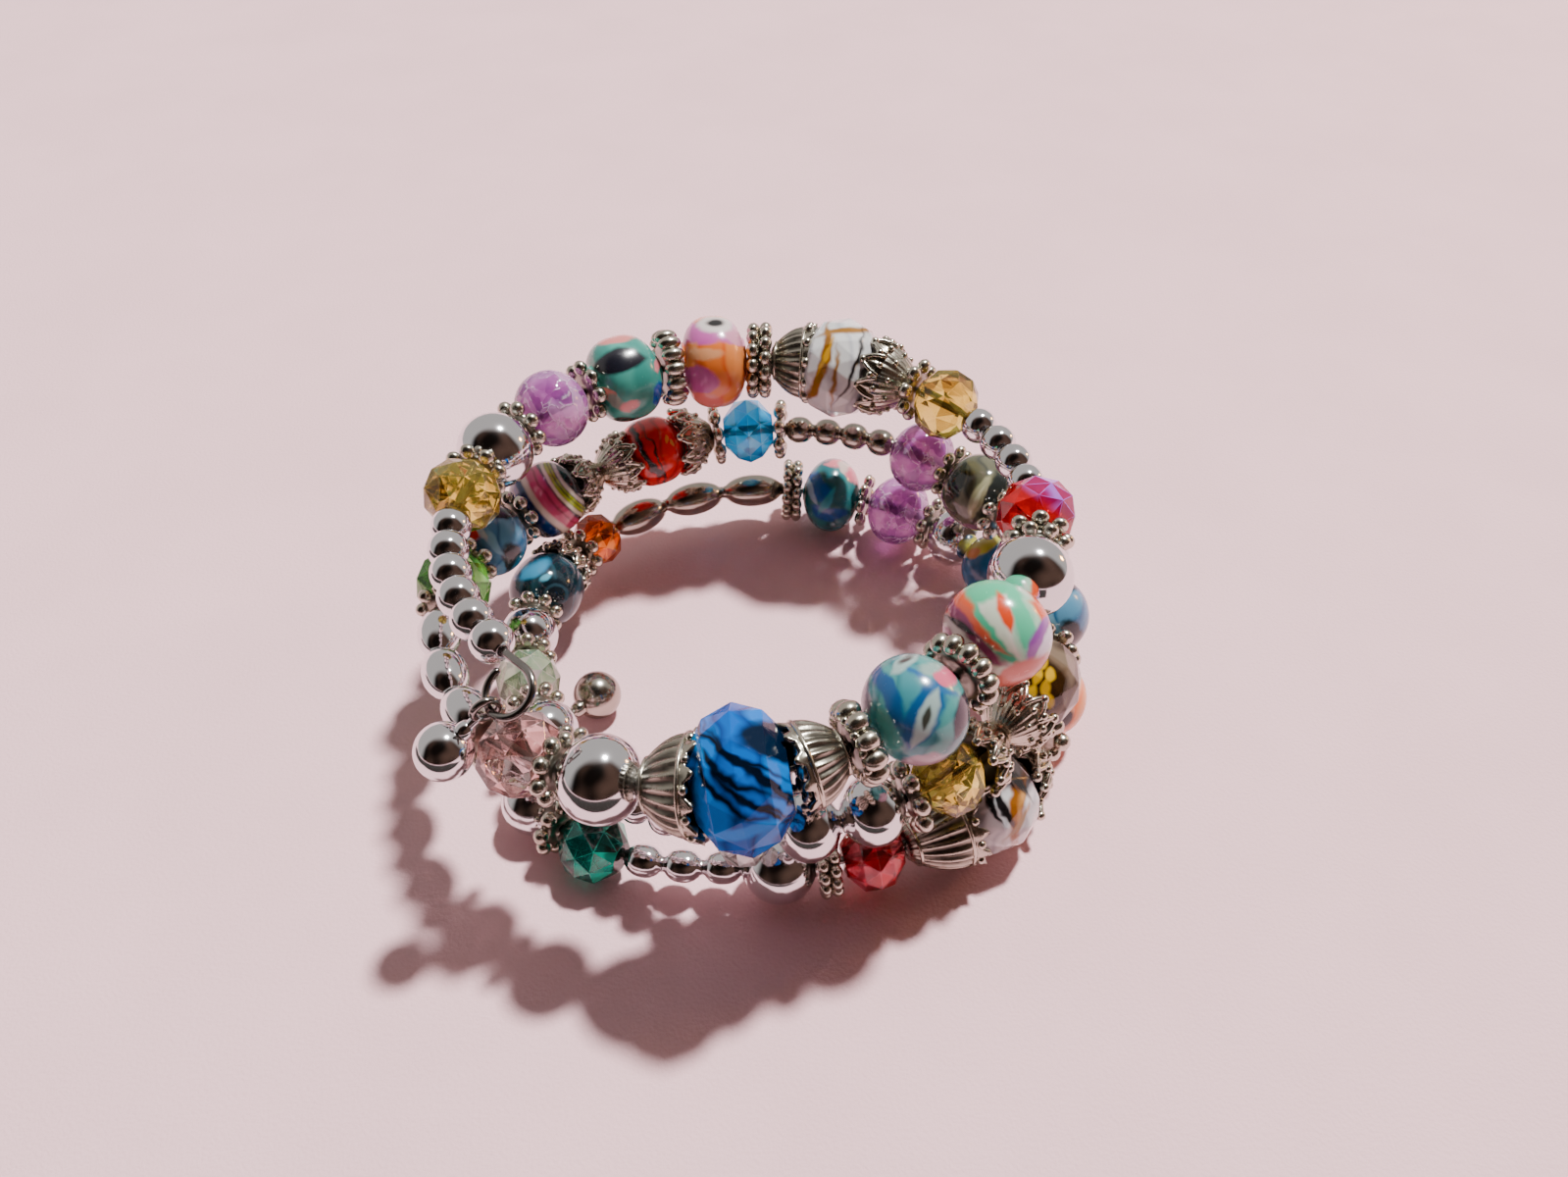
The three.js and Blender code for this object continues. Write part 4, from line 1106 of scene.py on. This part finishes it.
# In metres, with the camera's dip below the level
CAMERA_AT = (0.00297, -0.09441, 0.1058)
CAMERA_DIP = math.radians(43.3)
CAMERA_LENS = 29.2
CAMERA_SENSOR = 36.0
CAMERA_CLIP = 0.005
# The painted shade card: a dark sheet just above the floor, in front and at the left, in metres
CARD_HEIGHT = 0.0005
CARD_CORNERS = ((-0.5, -0.5), (0.25, -0.5), (0.05, -0.062), (-0.08, -0.06), (-0.13, 0.02), (-0.5, 0.05))
KEY_LIGHT = {"way": (0.30, 0.35, 1.0), "colour": (1.0, 0.99, 0.98), "distance": 0.8, "angle": 0.09}
WARM_LIGHT = {"way": (0.87, 0.41, 0.28), "colour": (1.0, 0.45, 0.12), "distance": 0.5, "size": 0.05}
DARK_WAY = (0.1, -0.93, 0.36)
DARK_EDGE = 0.2


def sheet(name, corners, finish):
    """A flat sheet that belongs to the stage."""
    mesh = bpy.data.meshes.new(name)
    mesh.from_pydata(corners, [], [tuple(range(len(corners)))])
    mesh.materials.append(finish)
    made = bpy.data.objects.new(name, mesh)
    bpy.context.collection.objects.link(made)
    return made


def floor_cloth(nodes, settings):
    """Pale cloth, a little mottled and finely woven."""
    place = nodes.place()
    mottle = nodes.spread(nodes.noise(place, 40.0, 4.0, 0.6), 0.3, 0.7)
    colour = settings.floor_colour
    return {"Base Color": nodes.mix(mottle, colour, [0.95 * v for v in colour]),
            "Normal": nodes.bump(nodes.noise(place, 2600.0), 0.25, 0.0003), "Roughness": 0.85}


def floor(settings):
    reach = settings.floor_size / 2
    corners = [(-reach, -reach, 0), (reach, -reach, 0), (reach, reach, 0), (-reach, reach, 0)]
    sheet("floor", corners, surface("floor cloth", floor_cloth, settings))


def painted_shade_card(settings):
    """A dark sheet in front of the bracelet, seen only in the plating: painted shade that stands in for a
    shaded floor in front, so that the bright metal reflects it dark.
    """
    matt = surface("painted shade card", lambda nodes: {"Base Color": settings.dark_colour, "Roughness": 0.9})
    card = sheet("painted-shade-card", [(x, y, CARD_HEIGHT) for x, y in CARD_CORNERS], matt)
    # Seen only in reflections, where it paints shade on the floor in front
    for way in ("camera", "diffuse", "transmission", "volume_scatter", "shadow"):
        setattr(card, "visible_" + way, False)


def sky(settings):
    """Soft light from above and behind, with the front of the room dark out to an uneven edge. The dark part
    shows only in reflections, and the backdrop itself is pale."""
    world = bpy.data.worlds.new("studio")
    world.use_nodes = True
    nodes = Nodes(world.node_tree)
    way = nodes.add("ShaderNodeTexCoord")["Generated"]
    drift = nodes.math("SUBTRACT", nodes.noise(way, 1.3, 0.0), 0.5)
    near = nodes.plus(nodes.vector("DOT_PRODUCT", way, DARK_WAY), nodes.times(drift, 0.4))
    limit = math.cos(settings.dark_width)
    dark = nodes.spread(near, limit - DARK_EDGE, limit + DARK_EDGE)
    brown = nodes.spread(nodes.noise(way, 1.1, 0.0), 0.3, 0.75)
    front = nodes.mix(brown, settings.dark_colour, settings.brown_colour)
    light = nodes.mix(dark, settings.sky_colour, front)
    seen = nodes.add("ShaderNodeLightPath")["Is Camera Ray"]
    lift = nodes.times(seen, settings.backdrop_strength - settings.sky_strength)
    background = world.node_tree.nodes["Background"]
    nodes.put(background.inputs["Color"], nodes.mix(seen, light, settings.backdrop_colour))
    nodes.put(background.inputs["Strength"], nodes.plus(lift, settings.sky_strength))
    bpy.context.scene.world = world


def lamp(name, kind, energy, way, colour, distance, **settings):
    """A light at a distance from the middle of the floor along way, pointing back at it."""
    data = bpy.data.lights.new(name, kind)
    data.energy = energy
    data.color = colour
    for key, value in settings.items():
        setattr(data, key, value)
    light = bpy.data.objects.new(name, data)
    light.location = Vector(way).normalized() * distance
    light.rotation_euler = light.location.to_track_quat("Z", "Y").to_euler()
    bpy.context.collection.objects.link(light)


def camera():
    data = bpy.data.cameras.new("camera")
    data.sensor_width = CAMERA_SENSOR
    data.lens = CAMERA_LENS
    data.clip_start = CAMERA_CLIP
    eye = bpy.data.objects.new("camera", data)
    eye.location = CAMERA_AT
    eye.rotation_euler = (math.radians(90) - CAMERA_DIP, 0.0, 0.0)
    bpy.context.collection.objects.link(eye)
    bpy.context.scene.camera = eye


# ---------------------------------------------------------------- the add-on


def colour_property(name, description, hexadecimal):
    return bpy.props.FloatVectorProperty(name=name, description=description, default=shade(hexadecimal),
                                         min=0.0, max=1.0, subtype="COLOR")


def blur_property(name, description, default):
    return bpy.props.FloatProperty(name=name, description=description, default=default, min=0.0, max=1.0,
                                   subtype="FACTOR")


def strength_property(name, description, default):
    return bpy.props.FloatProperty(name=name, description=description, default=default, min=0.0)


class BraceletWireSettings(bpy.types.PropertyGroup):
    wire_diameter: bpy.props.FloatProperty(
        name="Wire", description="Thickness of the memory wire", default=0.00075, min=0.0004, max=0.001,
        precision=4, unit="LENGTH")


class BraceletFinishSettings(bpy.types.PropertyGroup):
    silver_colour: colour_property("Silver", "Colour of the plated balls and small beads", "E4E2DA")
    silver_roughness: blur_property("Silver roughness", "How blurred the plated beads' reflections are", 0.05)
    old_silver_colour: colour_property(
        "Old silver", "Colour of the cast caps and spacers on their high spots", "C8C2B2")
    tarnish_colour: colour_property("Tarnish", "Colour in the hollows of the cast caps and spacers", "3A3630")
    glass_ior: bpy.props.FloatProperty(
        name="Glass IOR", description="How strongly the glass bends light", default=1.55, min=1.3, max=1.8)
    glass_roughness: blur_property("Glass roughness", "How blurred the view through the glass is", 0.02)


class BraceletStageSettings(bpy.types.PropertyGroup):
    floor_size: bpy.props.FloatProperty(
        name="Floor", description="Width of the floor", default=6.0, min=0.5, unit="LENGTH")
    floor_colour: colour_property("Floor colour", "Colour of the cloth on the floor", "F6C6CC")
    sky_colour: colour_property("Sky colour", "Colour of the light from above and behind", "F6EEEA")
    backdrop_colour: colour_property("Backdrop", "Colour of the backdrop beyond the floor", "E6D8DC")
    sky_strength: strength_property("Sky", "Strength of the light from all round", 0.62)
    backdrop_strength: strength_property("Backdrop strength", "Brightness beyond the floor", 1.25)
    dark_colour: colour_property("Dark colour", "Colour of the dark front of the room", "1C1512")
    brown_colour: colour_property("Brown colour", "Lighter colour within the room's dark front", "7A5C50")
    dark_width: bpy.props.FloatProperty(
        name="Dark width", description="How far the dark front of the room reaches from its middle",
        default=math.radians(80), subtype="ANGLE")
    key_strength: strength_property("Key light", "Strength of the key light from behind", 6.8)
    warm_power: bpy.props.FloatProperty(
        name="Warm light", description="Power of the small warm lamp at the right", default=0.3, min=0.0,
        unit="POWER")


class StringStep:
    """A step that makes the rows of the string of its kind."""

    def execute(self, context):
        for node, slot, kind, beads in STRING:
            if kind == self.kind:
                make_row(node, slot, beads)
        return {"FINISHED"}


class BRACELET_OT_wire(bpy.types.Operator):
    """Make the memory wire with its two end loops"""
    bl_idname = "bracelet.wire"
    bl_label = "Wire"

    def execute(self, context):
        wire(context.scene.bracelet_wire)
        return {"FINISHED"}


class BRACELET_OT_dangles(bpy.types.Operator):
    """Make the two hanging balls"""
    bl_idname = "bracelet.dangles"
    bl_label = "Hanging Balls"

    def execute(self, context):
        dangle("dangle-top", "ball_dangle_top", TOP_LOOP, TOP_BALL, "silver")
        # The bottom ball is alike to the top one and lies in shade on the floor inside the coil; its darker
        # plating is painted shade
        dangle("dangle-bottom", "ball_dangle_bottom", BOTTOM_LOOP, BOTTOM_BALL, "satin silver")
        return {"FINISHED"}


class BRACELET_OT_silver(StringStep, bpy.types.Operator):
    """Make the plated balls, rounds and ovals"""
    bl_idname = "bracelet.silver"
    bl_label = "Silver Beads"
    kind = "silver"


class BRACELET_OT_spacers(StringStep, bpy.types.Operator):
    """Make the daisy spacers and beaded rings"""
    bl_idname = "bracelet.spacers"
    bl_label = "Spacers"
    kind = "spacer"


class BRACELET_OT_caps(StringStep, bpy.types.Operator):
    """Make the cast bead caps"""
    bl_idname = "bracelet.caps"
    bl_label = "Bead Caps"
    kind = "cap"


class BRACELET_OT_crystals(StringStep, bpy.types.Operator):
    """Make the faceted crystals"""
    bl_idname = "bracelet.crystals"
    bl_label = "Crystals"
    kind = "crystal"


class BRACELET_OT_clay(StringStep, bpy.types.Operator):
    """Make the marbled clay beads"""
    bl_idname = "bracelet.clay"
    bl_label = "Clay Beads"
    kind = "clay"


class BRACELET_OT_glass(StringStep, bpy.types.Operator):
    """Make the patterned and crackled glass beads"""
    bl_idname = "bracelet.glass"
    bl_label = "Glass Beads"
    kind = "glass"


class BRACELET_OT_stage(bpy.types.Operator):
    """Make the floor, the lights and the camera"""
    bl_idname = "bracelet.stage"
    bl_label = "Stage"

    def execute(self, context):
        settings = context.scene.bracelet_stage
        floor(settings)
        painted_shade_card(settings)
        sky(settings)
        lamp("key light", "SUN", settings.key_strength, **KEY_LIGHT)
        lamp("warm light", "AREA", settings.warm_power, **WARM_LIGHT)
        camera()
        return {"FINISHED"}


STEPS = (BRACELET_OT_wire, BRACELET_OT_dangles, BRACELET_OT_silver, BRACELET_OT_spacers, BRACELET_OT_caps,
         BRACELET_OT_crystals, BRACELET_OT_clay, BRACELET_OT_glass, BRACELET_OT_stage)
SETTINGS = {"bracelet_wire": BraceletWireSettings, "bracelet_finish": BraceletFinishSettings,
            "bracelet_stage": BraceletStageSettings}


class BRACELET_PT_panel(bpy.types.Panel):
    """Settings and steps of the bracelet"""
    bl_label = "Memory Wire Bracelet"
    bl_idname = "BRACELET_PT_panel"
    bl_space_type = "VIEW_3D"
    bl_region_type = "UI"
    bl_category = "Bracelet"

    def draw(self, context):
        for name, kind in SETTINGS.items():
            column = self.layout.column()
            for setting in kind.__annotations__:
                column.prop(getattr(context.scene, name), setting)
        column = self.layout.column()
        for step in STEPS:
            column.operator(step.bl_idname)


def register():
    for name, kind in SETTINGS.items():
        bpy.utils.register_class(kind)
        setattr(bpy.types.Scene, name, bpy.props.PointerProperty(type=kind))
    for kind in (*STEPS, BRACELET_PT_panel):
        bpy.utils.register_class(kind)


def unregister():
    for kind in (BRACELET_PT_panel, *reversed(STEPS)):
        bpy.utils.unregister_class(kind)
    for name, kind in reversed(SETTINGS.items()):
        delattr(bpy.types.Scene, name)
        bpy.utils.unregister_class(kind)


def main():
    register()
    for step in STEPS:
        family, name = step.bl_idname.split(".")
        getattr(getattr(bpy.ops, family), name)()
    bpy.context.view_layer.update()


if __name__ == "__main__":
    main()
